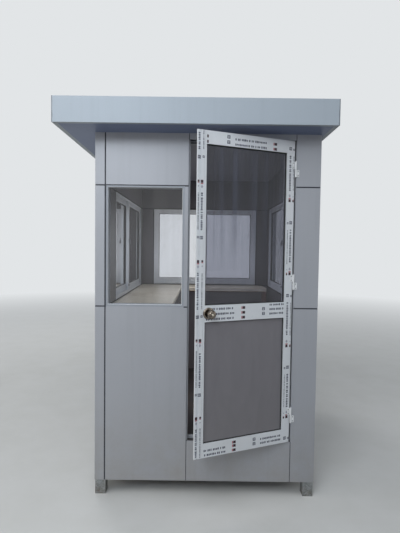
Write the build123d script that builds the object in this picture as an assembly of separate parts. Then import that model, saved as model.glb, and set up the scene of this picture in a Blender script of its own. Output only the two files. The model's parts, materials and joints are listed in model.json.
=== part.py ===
from build123d import *
import os

# Security guard booth: a steel tube frame clad in aluminium composite sheet, on four short feet.
# Millimetres, Z up, origin on the ground at the centre of the wall footprint.
# The door side is the front and faces -Y. Left and right are as seen from the front.

# Driving dimensions of the cabin
booth_width = 1500.0
booth_depth = 1840.0
foot_height = 100.0
floor_level = 379.0
sill_level = 1295.0
head_level = 2105.0
door_head_level = 2411.0
soffit_level = 2451.0

# Wall make-up, from outside to inside
cladding_thickness = 4.0
post_size = 70.0
lining_thickness = 4.0

# Steel sections
tube_wall = 3.0
rail_height = 40.0
base_rail_height = 60.0
joist_count = 4
joist_width = 40.0
roof_beam_count = 5
roof_beam_height = 50.0
roof_beam_width = 40.0

# Sheet joints and folds
panel_joint = 9.0
sealant_recess = 1.5
lining_joint = 4.0
corner_cover_width = 68.0
fold_radius = 2.5

# Floor and ceiling
deck_thickness = 18.0
ceiling_thickness = 6.0

# Doorway
door_side_cover_width = 163.0
doorway_width = 715.0
mullion_width = 25.0

# Aluminium window profiles
profile_wall = 3.0
frame_web = 5.0
glass_thickness = 5.0
glass_seat = 8.0
front_window_face = 20.0
front_glass_depth = 10.0
glazing_bead_width = 10.0
side_window_front_margin = 309.0
side_window_back_margin = 178.0
back_window_margin = 200.0
frame_face = 20.0
frame_foot = 30.0
drain_lip = 18.0
track_height = 10.0
track_width = 3.0
rib_thickness = 2.0
track_groove_gap = 1.0
sash_edge_gap = 3.0
sash_lift = 3.0
sash_thickness = 22.0
sash_spacing = 4.0
sash_stile_face = 36.0
sash_rail_face = 28.0
sash_foot_face = 40.0
grip_groove_width = 6.0
grip_groove_depth = 2.0

# Catches on the meeting stiles
catch_level = 1750.0
catch_length = 44.0
catch_width = 16.0
catch_depth = 8.0
catch_lever_length = 26.0
catch_lever_width = 8.0

# Roof
front_overhang = 226.0
back_overhang = 226.0
left_overhang = 213.0
right_overhang = 46.0
fascia_height = 158.0
fascia_sheet = 4.0
fascia_top_return = 55.0
fascia_bottom_return = 30.0
fascia_hem = 22.0
soffit_thickness = 4.0
mitre_gap = 2.0
roof_sheet_thickness = 1.5
roof_rib_height = 24.0
roof_rib_pitch = 200.0
roof_rib_base = 62.0
roof_rib_top = 28.0
roof_sheet_edge_gap = 6.0

# Counter
counter_thickness = 32.0
counter_nose_radius = 5.0
counter_left_width = 435.0
counter_back_width = 335.0
counter_end_gap = 50.0
counter_leg_size = 45.0
cleat_height = 40.0
cleat_thickness = 20.0
cleat_gap = 1.0

# Door leaf and door frame
door_open_angle = 23.0
leaf_thickness = 38.0
hinge_side_gap = 12.0
moving_gap = 5.0
lock_stile_width = 62.0
hinge_stile_width = 58.0
top_rail_height = 81.0
middle_rail_height = 104.0
middle_rail_level = 1237.0
bottom_rail_height = 89.0
lip_width = 17.0
lip_thickness = 8.0
lip_groove_width = 8.0
lip_groove_depth = 4.0
stile_line_offset = 49.0
stile_line_width = 2.0
stile_line_depth = 2.0
lower_panel_thickness = 8.0
infill_depth = 14.0
infill_seat = 8.0
leaf_edge_radius = 1.5
jamb_lining = 3.0
lock_jamb_width = 10.0
jamb_stop_depth = 16.0
gasket_groove_width = 5.0
gasket_groove_depth = 4.0
door_sill_rise = 15.0
door_sill_chamfer = 5.0

# Hinges
hinge_height = 104.0
hinge_from_top = 184.0
hinge_from_bottom = 184.0
hinge_middle_level = 1473.0
hinge_plate_width = 18.0
hinge_plate_inset = 3.0
hinge_plate_thickness = 3.0
hinge_corner_radius = 4.0
hinge_pin_radius = 3.0
knuckle_radius = 6.0
pin_running_gap = 0.3
knuckle_gap = 1.0
hinge_axis_stand_off = 7.0

# Knob set
knob_from_lock_edge = 88.0
knob_level = 1291.0
rose_radius = 37.0
rose_thickness = 8.0
rose_rim = 2.0
rose_shoulder = 12.0
knob_radius = 27.0
knob_length = 34.0
knob_face_radius = 16.0
knob_neck_radius = 10.0
knob_collar_radius = 14.0
knob_collar_length = 5.0
knob_neck_length = 22.0
knob_gap = 1.0
keyway_radius = 7.0
keyway_depth = 1.5
spindle_radius = 6.0
spindle_clearance = 2.0

# Values worked out from the ones above
half_width = booth_width / 2
half_depth = booth_depth / 2
wall_thickness = cladding_thickness + post_size + lining_thickness
inner_half_width = half_width - wall_thickness
inner_half_depth = half_depth - wall_thickness
frame_half_width = half_width - cladding_thickness
frame_half_depth = half_depth - cladding_thickness
front_y = -half_depth
wall_top = soffit_level + soffit_thickness
roof_top = soffit_level + fascia_height
roof_left = -half_width - left_overhang
roof_right = half_width + right_overhang
roof_front = front_y - front_overhang
roof_back = half_depth + back_overhang
doorway_right = half_width - door_side_cover_width
doorway_left = doorway_right - doorway_width
front_window_left = -frame_half_width + post_size
front_window_right = doorway_left - mullion_width
side_window_front = -half_depth + side_window_front_margin
side_window_back = half_depth - side_window_back_margin
back_window_half = half_width - back_window_margin
leaf_left = doorway_left + moving_gap
leaf_right = doorway_right - hinge_side_gap
leaf_bottom = floor_level + moving_gap
leaf_top = door_head_level - moving_gap
leaf_back = front_y + leaf_thickness
stop_y = leaf_back + moving_gap
wall_inside_y = front_y + wall_thickness
hinge_x = doorway_right - hinge_side_gap / 2
hinge_y = front_y - hinge_axis_stand_off
knob_x = leaf_left + knob_from_lock_edge
counter_top_level = sill_level
counter_underside = counter_top_level - counter_thickness
joint_half = panel_joint / 2
lining_half = lining_joint / 2

# Cuts run past the solid by this much, so that no skin is left
overcut = 1.0

# Each wall is drawn with X to the right as seen from outside, Y inwards from the outer face
front_wall = Location((0, -half_depth, 0))
back_wall = Location((0, half_depth, 0), (0, 0, 180))
left_wall = Location((-half_width, 0, 0), (0, 0, -90))
right_wall = Location((half_width, 0, 0), (0, 0, 90))


# Building blocks

def block(x0, x1, y0, y1, z0, z1):
    """A box between two opposite corners."""
    centre = Pos((x0 + x1) / 2, (y0 + y1) / 2, (z0 + z1) / 2)
    return centre * Box(x1 - x0, y1 - y0, z1 - z0)


def tube_x(x0, x1, y0, y1, z0, z1):
    """Rectangular tube along X, open at its ends."""
    t = tube_wall
    bore = block(x0 - overcut, x1 + overcut, y0 + t, y1 - t, z0 + t, z1 - t)
    return block(x0, x1, y0, y1, z0, z1) - bore


def tube_y(x0, x1, y0, y1, z0, z1):
    """Rectangular tube along Y, open at its ends."""
    t = tube_wall
    bore = block(x0 + t, x1 - t, y0 - overcut, y1 + overcut, z0 + t, z1 - t)
    return block(x0, x1, y0, y1, z0, z1) - bore


def tube_z(x0, x1, y0, y1, z0, z1):
    """Upright rectangular tube, open at its ends."""
    t = tube_wall
    bore = block(x0 + t, x1 - t, y0 + t, y1 - t, z0 - overcut, z1 + overcut)
    return block(x0, x1, y0, y1, z0, z1) - bore


def ring(x0, x1, y0, y1, z0, z1, left, right, bottom, top):
    """Upright rectangular frame with its own width on each of the four sides."""
    hole = block(x0 + left, x1 - right, y0 - overcut, y1 + overcut, z0 + bottom, z1 - top)
    return block(x0, x1, y0, y1, z0, z1) - hole


def even_ring(x0, x1, y0, y1, z0, z1, width):
    """Upright rectangular frame with the same width all round."""
    return ring(x0, x1, y0, y1, z0, z1, width, width, width, width)


def four_corners(shape):
    """A shape drawn in the front left corner, repeated by symmetry in the other three."""
    right = mirror(shape, Plane.YZ)
    return [shape, right, mirror(shape, Plane.XZ), mirror(right, Plane.XZ)]


def save(name, shapes):
    """Write one node, made of one or more separate solids."""
    solids = []
    for shape in shapes:
        solids.extend(shape.solids())
    for solid in solids:
        solid.label = name
    node = solids[0] if len(solids) == 1 else Compound(children=solids)
    node.label = name
    export_step(node, "parts/" + name + ".step")


# Steel frame

def corner_posts():
    """Full-height posts whose lower ends are the feet, each closed at the ground by a plate."""
    x0 = -frame_half_width
    y0 = -frame_half_depth
    t = tube_wall
    post = block(x0, x0 + post_size, y0, y0 + post_size, 0, wall_top)
    post -= block(x0 + t, x0 + post_size - t, y0 + t, y0 + post_size - t, t, wall_top + overcut)
    return four_corners(post)


def ring_rails(z0, z1):
    """Four rails between the corner posts at one level."""
    x1 = frame_half_width
    y1 = frame_half_depth
    x_end = x1 - post_size
    y_end = y1 - post_size
    return [tube_x(-x_end, x_end, -y1, -y_end, z0, z1),
            tube_x(-x_end, x_end, y_end, y1, z0, z1),
            tube_y(-x1, -x_end, -y_end, y_end, z0, z1),
            tube_y(x_end, x1, -y_end, y_end, z0, z1)]


def base_rails():
    """Lower ring at the underside and upper ring under the floor."""
    floor_under = floor_level - deck_thickness
    lower = ring_rails(foot_height, foot_height + base_rail_height)
    upper = ring_rails(floor_under - base_rail_height, floor_under)
    return lower + upper


def floor_joists():
    """Joists between the upper base rails, front to back."""
    top = floor_level - deck_thickness
    span = frame_half_depth - post_size
    reach = frame_half_width - post_size
    spacing = 2 * reach / (joist_count + 1)
    joists = []
    for i in range(joist_count):
        x0 = -reach + (i + 1) * spacing - joist_width / 2
        joists.append(tube_y(x0, x0 + joist_width, -span, span, top - base_rail_height, top))
    return joists


def floor_deck():
    """Floor board over the base, notched round the four posts."""
    x1 = frame_half_width
    y1 = frame_half_depth
    z0 = floor_level - deck_thickness
    deck = block(-x1, x1, -y1, y1, z0, floor_level)
    notch = block(-x1 - overcut, -x1 + post_size, -y1 - overcut, -y1 + post_size,
                  z0 - overcut, floor_level + overcut)
    for corner in four_corners(notch):
        deck -= corner
    return [deck]


def door_studs():
    """Studs at each side of the doorway, standing on the floor."""
    y0 = front_y + cladding_thickness
    y1 = y0 + post_size
    left = tube_z(doorway_left - mullion_width, doorway_left, y0, y1, floor_level, wall_top)
    right = tube_z(doorway_right, doorway_right + rail_height, y0, y1, floor_level, wall_top)
    return [left, right]


def wall_rails():
    """Rails in the walls at window sill, window head and wall top."""
    d0 = cladding_thickness
    d1 = d0 + post_size
    levels = ((sill_level - rail_height, sill_level),
              (head_level, head_level + rail_height),
              (wall_top - rail_height, wall_top))
    rails = []
    for wall, half_length in ((left_wall, half_depth), (right_wall, half_depth), (back_wall, half_width)):
        end = half_length - d1
        for z0, z1 in levels:
            rails.append(wall * tube_x(-end, end, d0, d1, z0, z1))
    front_end = half_width - d1
    for z0, z1 in levels:
        rails.append(front_wall * tube_x(-front_end, doorway_left - mullion_width, d0, d1, z0, z1))
    z0, z1 = levels[-1]
    rails.append(front_wall * tube_x(doorway_left, doorway_right, d0, d1, z0, z1))
    rails.append(front_wall * tube_x(doorway_right + rail_height, front_end, d0, d1, z0, z1))
    return rails


def roof_beams():
    """Beams across the wall tops, carried out to the fascia all round."""
    x0 = roof_left + fascia_sheet
    x1 = roof_right - fascia_sheet
    y_first = roof_front + fascia_sheet
    y_last = roof_back - fascia_sheet - roof_beam_width
    spacing = (y_last - y_first) / (roof_beam_count - 1)
    beams = []
    for i in range(roof_beam_count):
        y0 = y_first + i * spacing
        beams.append(tube_x(x0, x1, y0, y0 + roof_beam_width, wall_top, wall_top + roof_beam_height))
    return beams


# Outer cladding

def cladding_rows():
    """Heights of the three rows of cladding, with the sheet joints taken off."""
    return ((foot_height, sill_level - joint_half),
            (sill_level + joint_half, head_level - joint_half),
            (head_level + joint_half, soffit_level))


def corner_cover(x_reach, y_reach, z0, z1):
    """Sheet folded round the front left corner, one row high."""
    t = cladding_thickness
    x0 = -half_width
    y0 = -half_depth
    cover = block(x0, x0 + x_reach, y0, y0 + y_reach, z0, z1)
    cover -= block(x0 + t, x0 + x_reach + overcut, y0 + t, y0 + y_reach + overcut,
                   z0 - overcut, z1 + overcut)
    fold = cover.edges().filter_by(Axis.Z).sort_by(lambda e: e.center().X + e.center().Y)[0]
    return fillet(fold, fold_radius)


def corner_covers():
    """Folded covers of the four corners, the one beside the door wide at the front."""
    covers = []
    narrow = corner_cover_width - joint_half
    for z0, z1 in cladding_rows():
        corner = four_corners(corner_cover(narrow, narrow, z0, z1))
        beside_door = mirror(corner_cover(door_side_cover_width, narrow, z0, z1), Plane.YZ)
        covers.extend([corner[0], beside_door, corner[2], corner[3]])
    return covers


def sheet(x0, x1, z0, z1):
    """One flat cladding sheet in a wall's own frame."""
    return block(x0, x1, 0, cladding_thickness, z0, z1)


def window_wall_panels(wall, half_length, window_left, window_right):
    """Sheets of a wall with one window: below, above and at both sides of it."""
    lower, middle, upper = cladding_rows()
    x1 = half_length - corner_cover_width - joint_half
    sheets = [sheet(-x1, x1, lower[0], lower[1]),
              sheet(-x1, x1, upper[0], upper[1]),
              sheet(-x1, window_left, middle[0], middle[1]),
              sheet(window_right, x1, middle[0], middle[1])]
    return [wall * s for s in sheets]


def left_wall_panels():
    return window_wall_panels(left_wall, half_depth, -side_window_back, -side_window_front)


def right_wall_panels():
    return window_wall_panels(right_wall, half_depth, side_window_front, side_window_back)


def back_wall_panels():
    return window_wall_panels(back_wall, half_width, -back_window_half, back_window_half)


def front_wall_panels():
    """Sheet up to the front window, sheet above it, strip beside the door and lintel."""
    lower, middle, upper = cladding_rows()
    x0 = -half_width + corner_cover_width + joint_half
    below = sheet(x0, doorway_left, lower[0], lower[1])
    below += sheet(front_window_left, front_window_right, lower[0], sill_level)
    sheets = [below,
              sheet(x0, doorway_left, upper[0], upper[1]),
              sheet(front_window_right, doorway_left, middle[0], middle[1]),
              sheet(doorway_left + joint_half, doorway_right - joint_half, door_head_level, soffit_level)]
    return [front_wall * s for s in sheets]


def threshold_panel():
    """Sheet under the doorway."""
    x0 = doorway_left + joint_half
    x1 = doorway_right - joint_half
    return [front_wall * sheet(x0, x1, foot_height, floor_level)]


def panel_sealant(cladding):
    """Sealant in the open joints: a thin skin round the cabin, less sheets and openings."""
    outer_x = half_width - sealant_recess
    outer_y = half_depth - sealant_recess
    skin = block(-outer_x, outer_x, -outer_y, outer_y, foot_height, soffit_level)
    skin -= block(-frame_half_width, frame_half_width, -frame_half_depth, frame_half_depth,
                  foot_height - overcut, soffit_level + overcut)
    t = cladding_thickness + overcut
    window_rows = (-overcut, t, sill_level, head_level)
    skin -= front_wall * block(front_window_left, front_window_right, *window_rows)
    skin -= front_wall * block(doorway_left, doorway_right, -overcut, t, floor_level, door_head_level)
    skin -= left_wall * block(-side_window_back, -side_window_front, *window_rows)
    skin -= right_wall * block(side_window_front, side_window_back, *window_rows)
    skin -= back_wall * block(-back_window_half, back_window_half, *window_rows)
    for piece in cladding:
        skin -= piece
    return [skin]


# Inner lining

def lining_sheet(x0, x1, z0, z1):
    """One lining sheet in a wall's own frame."""
    return block(x0, x1, wall_thickness - lining_thickness, wall_thickness, z0, z1)


def window_wall_lining(wall, end, window_left, window_right):
    """Inside sheets of a wall with one window."""
    z_low = sill_level + lining_half
    z_high = head_level - lining_half
    sheets = [lining_sheet(-end, end, floor_level, sill_level - lining_half),
              lining_sheet(-end, end, head_level + lining_half, door_head_level),
              lining_sheet(-end, window_left - lining_joint, z_low, z_high),
              lining_sheet(window_right + lining_joint, end, z_low, z_high)]
    return [wall * s for s in sheets]


def left_lining():
    return window_wall_lining(left_wall, inner_half_depth, -side_window_back, -side_window_front)


def right_lining():
    return window_wall_lining(right_wall, inner_half_depth, side_window_front, side_window_back)


def back_lining():
    end = inner_half_width + lining_thickness
    return window_wall_lining(back_wall, end, -back_window_half, back_window_half)


def front_lining():
    """Inside sheets of the front wall, round the window and beside the door."""
    end = inner_half_width + lining_thickness
    z_low = sill_level + lining_half
    z_high = head_level - lining_half
    sheets = [lining_sheet(-end, doorway_left, floor_level, sill_level - lining_half),
              lining_sheet(-end, doorway_left, head_level + lining_half, door_head_level),
              lining_sheet(front_window_right, doorway_left, z_low, z_high),
              lining_sheet(doorway_right, end, floor_level, door_head_level)]
    return [front_wall * s for s in sheets]


def ceiling():
    """Ceiling sheet between the walls."""
    x1 = inner_half_width + lining_thickness
    y1 = inner_half_depth + lining_thickness
    return [block(-x1, x1, -y1, y1, door_head_level, door_head_level + ceiling_thickness)]


# Door frame

def gasket_groove(x, z0, z1):
    """Cut for the rubber seal in the front of an upright stop."""
    half = gasket_groove_width / 2
    return block(x - half, x + half, stop_y - overcut, stop_y + gasket_groove_depth,
                 z0 - overcut, z1 + overcut)


def door_jambs():
    """Upright profiles: a slim one that the lip closes on, and a stop with a seal groove at the hinges."""
    z0 = floor_level
    z1 = door_head_level
    lip_back = front_y + lip_thickness + moving_gap
    lock = block(doorway_left, doorway_left + lock_jamb_width, lip_back, wall_inside_y, z0, z1)
    lining_x = doorway_right - jamb_lining
    hinge_stop_x = leaf_right - jamb_stop_depth
    hinge = block(lining_x, doorway_right, front_y + cladding_thickness, wall_inside_y, z0, z1)
    hinge += block(hinge_stop_x, doorway_right, stop_y, wall_inside_y, z0, z1)
    hinge -= gasket_groove((hinge_stop_x + leaf_right) / 2, z0, z1)
    return [lock, hinge]


def between_jambs():
    """Left and right end of the head and the sill."""
    return doorway_left + lock_jamb_width, leaf_right - jamb_stop_depth


def door_head():
    """Head profile: a stop behind the leaf's top edge."""
    x0, x1 = between_jambs()
    z0 = door_head_level - jamb_stop_depth - moving_gap
    z_groove = (z0 + leaf_top) / 2
    half = gasket_groove_width / 2
    head = block(x0, x1, stop_y, wall_inside_y, z0, door_head_level)
    head -= block(x0 - overcut, x1 + overcut, stop_y - overcut, stop_y + gasket_groove_depth,
                  z_groove - half, z_groove + half)
    return [head]


def door_sill():
    """Threshold bar on the floor edge behind the leaf, chamfered towards the room."""
    x0, x1 = between_jambs()
    bar = block(x0, x1, stop_y, wall_inside_y, floor_level, floor_level + door_sill_rise)
    edge = bar.edges().filter_by(Axis.X).sort_by(lambda e: e.center().Y + e.center().Z)[-1]
    return [chamfer(edge, door_sill_chamfer)]


# Windows

def front_window():
    """Fixed window: a profile with an open chamber on its hidden side, and its seated pane."""
    x0, x1 = front_window_left, front_window_right
    z0, z1 = sill_level, head_level
    face = front_window_face
    glass_back = front_glass_depth + glass_thickness
    frame = even_ring(x0, x1, 0, wall_thickness, z0, z1, face)
    frame -= even_ring(x0 - overcut, x1 + overcut, glass_back + glazing_bead_width,
                       wall_thickness - profile_wall, z0 - overcut, z1 + overcut,
                       face - profile_wall + overcut)
    inset = face - glass_seat
    pane = block(x0 + inset, x1 - inset, front_glass_depth, glass_back, z0 + inset, z1 - inset)
    return front_wall * (frame - pane), front_wall * pane


def sash_depths():
    """Outer faces of the outer and the inner sash, from the wall's outer face."""
    middle = wall_thickness / 2
    return middle - sash_spacing / 2 - sash_thickness, middle + sash_spacing / 2


def sliding_frame(x0, x1):
    """Frame of a sliding window: web, lips and middle rib all round, and two tracks below."""
    z0, z1 = sill_level, head_level
    depth = wall_thickness
    rib_y0 = (depth - rib_thickness) / 2
    frame = even_ring(x0, x1, 0, depth, z0, z1, frame_web)
    frame += ring(x0, x1, 0, profile_wall, z0, z1, frame_face, frame_face, drain_lip, frame_face)
    frame += ring(x0, x1, depth - profile_wall, depth, z0, z1, frame_face, frame_face, frame_foot, frame_face)
    frame += ring(x0, x1, rib_y0, rib_y0 + rib_thickness, z0, z1,
                  frame_face, frame_face, frame_web + track_height, frame_face)
    for y in sash_depths():
        centre = y + sash_thickness / 2
        frame += block(x0 + frame_web, x1 - frame_web, centre - track_width / 2, centre + track_width / 2,
                       z0 + frame_web - overcut, z0 + frame_web + track_height)
    return frame


def sash(x0, x1, left_stile, right_stile, y):
    """One sash, with a groove that runs on the track and grip grooves down its stiles."""
    z0 = sill_level + frame_web + sash_lift
    z1 = head_level - frame_web - sash_edge_gap
    foot = sill_level + frame_foot + sash_foot_face - z0
    top = z1 - (head_level - frame_face - sash_rail_face)
    body = ring(x0, x1, y, y + sash_thickness, z0, z1, left_stile, right_stile, foot, top)
    track_top = sill_level + frame_web + track_height
    centre = y + sash_thickness / 2
    half_groove = track_width / 2 + track_groove_gap
    body -= block(x0 - overcut, x1 + overcut, centre - half_groove, centre + half_groove,
                  z0 - overcut, track_top)
    for x in (x0 + left_stile / 2, x1 - right_stile / 2):
        half = grip_groove_width / 2
        body -= block(x - half, x + half, y - overcut, y + grip_groove_depth, z0 + foot, z1 - top)
    glass_y = centre - glass_thickness / 2
    pane = block(x0 + left_stile - glass_seat, x1 - right_stile + glass_seat,
                 glass_y, glass_y + glass_thickness, z0 + foot - glass_seat, z1 - top + glass_seat)
    return body - pane, pane


def catch(x, y_face):
    """Crescent catch on the room side of a meeting stile, with its lever."""
    body = block(x - catch_width / 2, x + catch_width / 2, y_face, y_face + catch_depth,
                 catch_level - catch_length / 2, catch_level + catch_length / 2)
    body = fillet(body.edges().filter_by(Axis.Y), catch_width / 4)
    lever = block(x - catch_lever_width / 2, x + catch_lever_width / 2,
                  y_face + catch_depth / 2, y_face + 2 * catch_depth,
                  catch_level - catch_lever_length, catch_level + catch_lever_width / 2)
    lever = fillet(lever.edges().filter_by(Axis.Y), catch_lever_width / 3)
    return body + lever


def sliding_window(wall, left, right):
    """Two-sash sliding window in one wall: frame, two sashes, two panes and a catch."""
    middle = (left + right) / 2
    lap = sash_stile_face / 2
    jamb_edge = frame_web + sash_edge_gap
    jamb_stile = frame_face - jamb_edge + sash_stile_face
    outer_y, inner_y = sash_depths()
    outer = sash(left + jamb_edge, middle + lap, jamb_stile, sash_stile_face, outer_y)
    inner = sash(middle - lap, right - jamb_edge, sash_stile_face, jamb_stile, inner_y)
    fitting = catch(middle, inner_y + sash_thickness)
    frame = sliding_frame(left, right)
    return (wall * frame, [wall * outer[0], wall * inner[0]],
            [wall * outer[1], wall * inner[1]], wall * fitting)


# Counter

def nosed(top, edge_axis, key):
    """Round both long edges of a counter's front."""
    edges = top.edges().filter_by(edge_axis).sort_by(key)[-2:]
    return fillet(edges, counter_nose_radius)


def counter_left():
    """Left run of the counter top, along the whole left wall."""
    x0 = -inner_half_width
    y1 = inner_half_depth
    top = block(x0, x0 + counter_left_width, -y1, y1, counter_underside, counter_top_level)
    return [nosed(top, Axis.Y, lambda e: e.center().X)]


def counter_back():
    """Back run of the counter top, from the left run towards the right wall."""
    x0 = -inner_half_width + counter_left_width
    x1 = inner_half_width - counter_end_gap
    y1 = inner_half_depth
    top = block(x0, x1, y1 - counter_back_width, y1, counter_underside, counter_top_level)
    return [nosed(top, Axis.X, lambda e: -e.center().Y)]


def counter_cleats():
    """Battens on the walls under the counter."""
    z0 = counter_underside - cleat_height
    x0 = -inner_half_width
    x1 = inner_half_width - counter_end_gap - counter_leg_size
    y1 = inner_half_depth
    side_end = y1 - cleat_thickness - cleat_gap
    left = block(x0, x0 + cleat_thickness, -y1, side_end, z0, counter_underside)
    back = block(x0, x1, y1 - cleat_thickness, y1, z0, counter_underside)
    return [left, back]


def counter_leg():
    """Leg under the free end of the back run."""
    x1 = inner_half_width - counter_end_gap
    y0 = inner_half_depth - counter_back_width + counter_nose_radius
    size = counter_leg_size
    return [block(x1 - size, x1, y0, y0 + size, floor_level, counter_underside)]


# Roof

def mitre_wedge(side):
    """Upright wedge from the middle of the roof over one side, with half the mitre gap off."""
    inset = min(roof_right - roof_left, roof_back - roof_front) / 2
    x0, x1, y0, y1 = roof_left, roof_right, roof_front, roof_back
    gap = mitre_gap / 2
    outlines = {
        "front": ((x0 + gap, y0), (x1 - gap, y0), (x1 - inset - gap, y0 + inset), (x0 + inset + gap, y0 + inset)),
        "back": ((x0 + gap, y1), (x0 + inset + gap, y1 - inset), (x1 - inset - gap, y1 - inset), (x1 - gap, y1)),
        "left": ((x0, y0 + gap), (x0 + inset, y0 + inset + gap), (x0 + inset, y1 - inset - gap), (x0, y1 - gap)),
        "right": ((x1, y0 + gap), (x1, y1 - gap), (x1 - inset, y1 - inset - gap), (x1 - inset, y0 + inset + gap))}
    outline = make_face(Polyline(*outlines[side], close=True))
    return extrude(Pos(0, 0, soffit_level) * outline, fascia_height)


def roof_ring(inset0, inset1, z0, z1):
    """Flat ring between two insets from the roof's edge."""
    outer = block(roof_left + inset0, roof_right - inset0, roof_front + inset0, roof_back - inset0, z0, z1)
    return outer - block(roof_left + inset1, roof_right - inset1, roof_front + inset1, roof_back - inset1,
                         z0 - overcut, z1 + overcut)


def mitred(whole):
    """Cut a ring into its four sides at the mitres."""
    return [whole & mitre_wedge(side) for side in ("front", "right", "back", "left")]


def fascia():
    """Folded sheet border of the roof: face, top return with a hem, and bottom return."""
    t = fascia_sheet
    hem_inset = fascia_top_return - t
    border = roof_ring(0, t, soffit_level, roof_top)
    border += roof_ring(0, fascia_top_return, roof_top - t, roof_top)
    border += roof_ring(hem_inset, fascia_top_return, roof_top - fascia_hem, roof_top)
    border += roof_ring(0, fascia_bottom_return, soffit_level, soffit_level + t)
    return mitred(border)


def soffit():
    """Underside of the overhang, one mitred sheet a side, between fascia and walls."""
    inset = fascia_bottom_return
    whole = block(roof_left + inset, roof_right - inset, roof_front + inset, roof_back - inset,
                  soffit_level, wall_top)
    whole -= block(-half_width, half_width, -half_depth, half_depth,
                   soffit_level - overcut, wall_top + overcut)
    return mitred(whole)


def roof_deck():
    """Ribbed roof sheet on the beams, inside the fascia, its ribs running front to back."""
    z = wall_top + roof_beam_height
    x0 = roof_left + fascia_sheet + roof_sheet_edge_gap
    x1 = roof_right - fascia_sheet - roof_sheet_edge_gap
    count = int((x1 - x0 - roof_rib_base) // roof_rib_pitch) + 1
    first = (x0 + x1) / 2 - (count - 1) * roof_rib_pitch / 2
    line = [(x0, z)]
    for i in range(count):
        x = first + i * roof_rib_pitch
        line.append((x - roof_rib_base / 2, z))
        line.append((x - roof_rib_top / 2, z + roof_rib_height))
        line.append((x + roof_rib_top / 2, z + roof_rib_height))
        line.append((x + roof_rib_base / 2, z))
    line.append((x1, z))
    upper = [(x, height + roof_sheet_thickness) for x, height in reversed(line)]
    outline = make_face(Polyline(*(line + upper), close=True))
    y0 = roof_front + fascia_sheet + roof_sheet_edge_gap
    y1 = roof_back - fascia_sheet - roof_sheet_edge_gap
    upright = Plane(origin=(0, y1, 0), x_dir=(1, 0, 0), z_dir=(0, -1, 0))
    return [extrude(upright * outline, y1 - y0)]


# Door leaf, drawn shut and then swung open

def swung(shape):
    """Turn a piece of the leaf from shut to its open place."""
    return shape.rotate(Axis((hinge_x, hinge_y, 0), (0, 0, 1)), door_open_angle)


def infill_fields():
    """Left, right, bottom and top of the glass field and of the lower panel field."""
    x0 = leaf_left + lock_stile_width
    x1 = leaf_right - hinge_stile_width
    glass = (x0, x1, middle_rail_level + middle_rail_height, leaf_top - top_rail_height)
    panel = (x0, x1, leaf_bottom + bottom_rail_height, middle_rail_level)
    return glass, panel


def infill(field, thickness, seat):
    """Pane or panel in a field of the leaf, reaching its seat's depth into the frame."""
    x0, x1, z0, z1 = field
    y0 = front_y + infill_depth
    return block(x0 - seat, x1 + seat, y0, y0 + thickness, z0 - seat, z1 + seat)


def leaf_seats():
    """What the frame of the leaf is cut back for: pane, panel and spindle."""
    glass, panel = infill_fields()
    return [infill(glass, glass_thickness, infill_seat),
            infill(panel, lower_panel_thickness, infill_seat), spindle_hole()]


def leaf_member(shape):
    """Cut the seats out of a stile or rail and swing it open."""
    for seat in leaf_seats():
        shape = shape - seat
    return swung(shape)


def door_lock_stile():
    """Lock-side stile with its overlapping lip, the groove beside it and a fine line."""
    x0 = leaf_left
    x_body = x0 + lip_width
    x1 = x0 + lock_stile_width
    stile = block(x_body, x1, front_y, leaf_back, leaf_bottom, leaf_top)
    stile += block(x0, x_body + overcut, front_y, front_y + lip_thickness, leaf_bottom, leaf_top)
    outer_edge = stile.edges().filter_by(Axis.Z).sort_by(lambda e: e.center().X + e.center().Y)[0]
    stile = fillet(outer_edge, leaf_edge_radius)
    grooves = ((x_body, lip_groove_width, lip_groove_depth),
               (x0 + stile_line_offset, stile_line_width, stile_line_depth))
    for x, width, depth in grooves:
        stile -= block(x, x + width, front_y - overcut, front_y + depth,
                       leaf_bottom - overcut, leaf_top + overcut)
    return [leaf_member(stile)]


def door_hinge_stile():
    """Hinge-side stile."""
    x0 = leaf_right - hinge_stile_width
    stile = block(x0, leaf_right, front_y, leaf_back, leaf_bottom, leaf_top)
    outer_edge = stile.edges().filter_by(Axis.Z).sort_by(lambda e: e.center().X - e.center().Y)[-1]
    return [leaf_member(fillet(outer_edge, leaf_edge_radius))]


def spindle_hole():
    """Bore through the leaf for the knob spindle."""
    hole = Cylinder(spindle_radius + spindle_clearance, 4 * leaf_thickness)
    return Pos(knob_x, front_y, knob_level) * Rot(90, 0, 0) * hole


def door_rails():
    """Top, middle and bottom rails, butted between the stiles."""
    glass, panel = infill_fields()
    x0, x1 = glass[0], glass[1]
    heights = ((glass[3], leaf_top), (panel[3], glass[2]), (leaf_bottom, panel[2]))
    return [leaf_member(block(x0, x1, front_y, leaf_back, z0, z1)) for z0, z1 in heights]


def door_glass():
    """Pane in the upper part of the leaf."""
    return [swung(infill(infill_fields()[0], glass_thickness, infill_seat))]


def door_lower_panel():
    """Solid panel in the lower part of the leaf."""
    return [swung(infill(infill_fields()[1], lower_panel_thickness, infill_seat))]


# Hinges

def hinge_levels():
    """Middle heights of the three hinges."""
    return leaf_bottom + hinge_from_bottom, hinge_middle_level, leaf_top - hinge_from_top


def knuckle(z0, z1, radius):
    """Upright cylinder on the hinge axis."""
    return Pos(hinge_x, hinge_y, (z0 + z1) / 2) * Cylinder(radius, z1 - z0)


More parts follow.
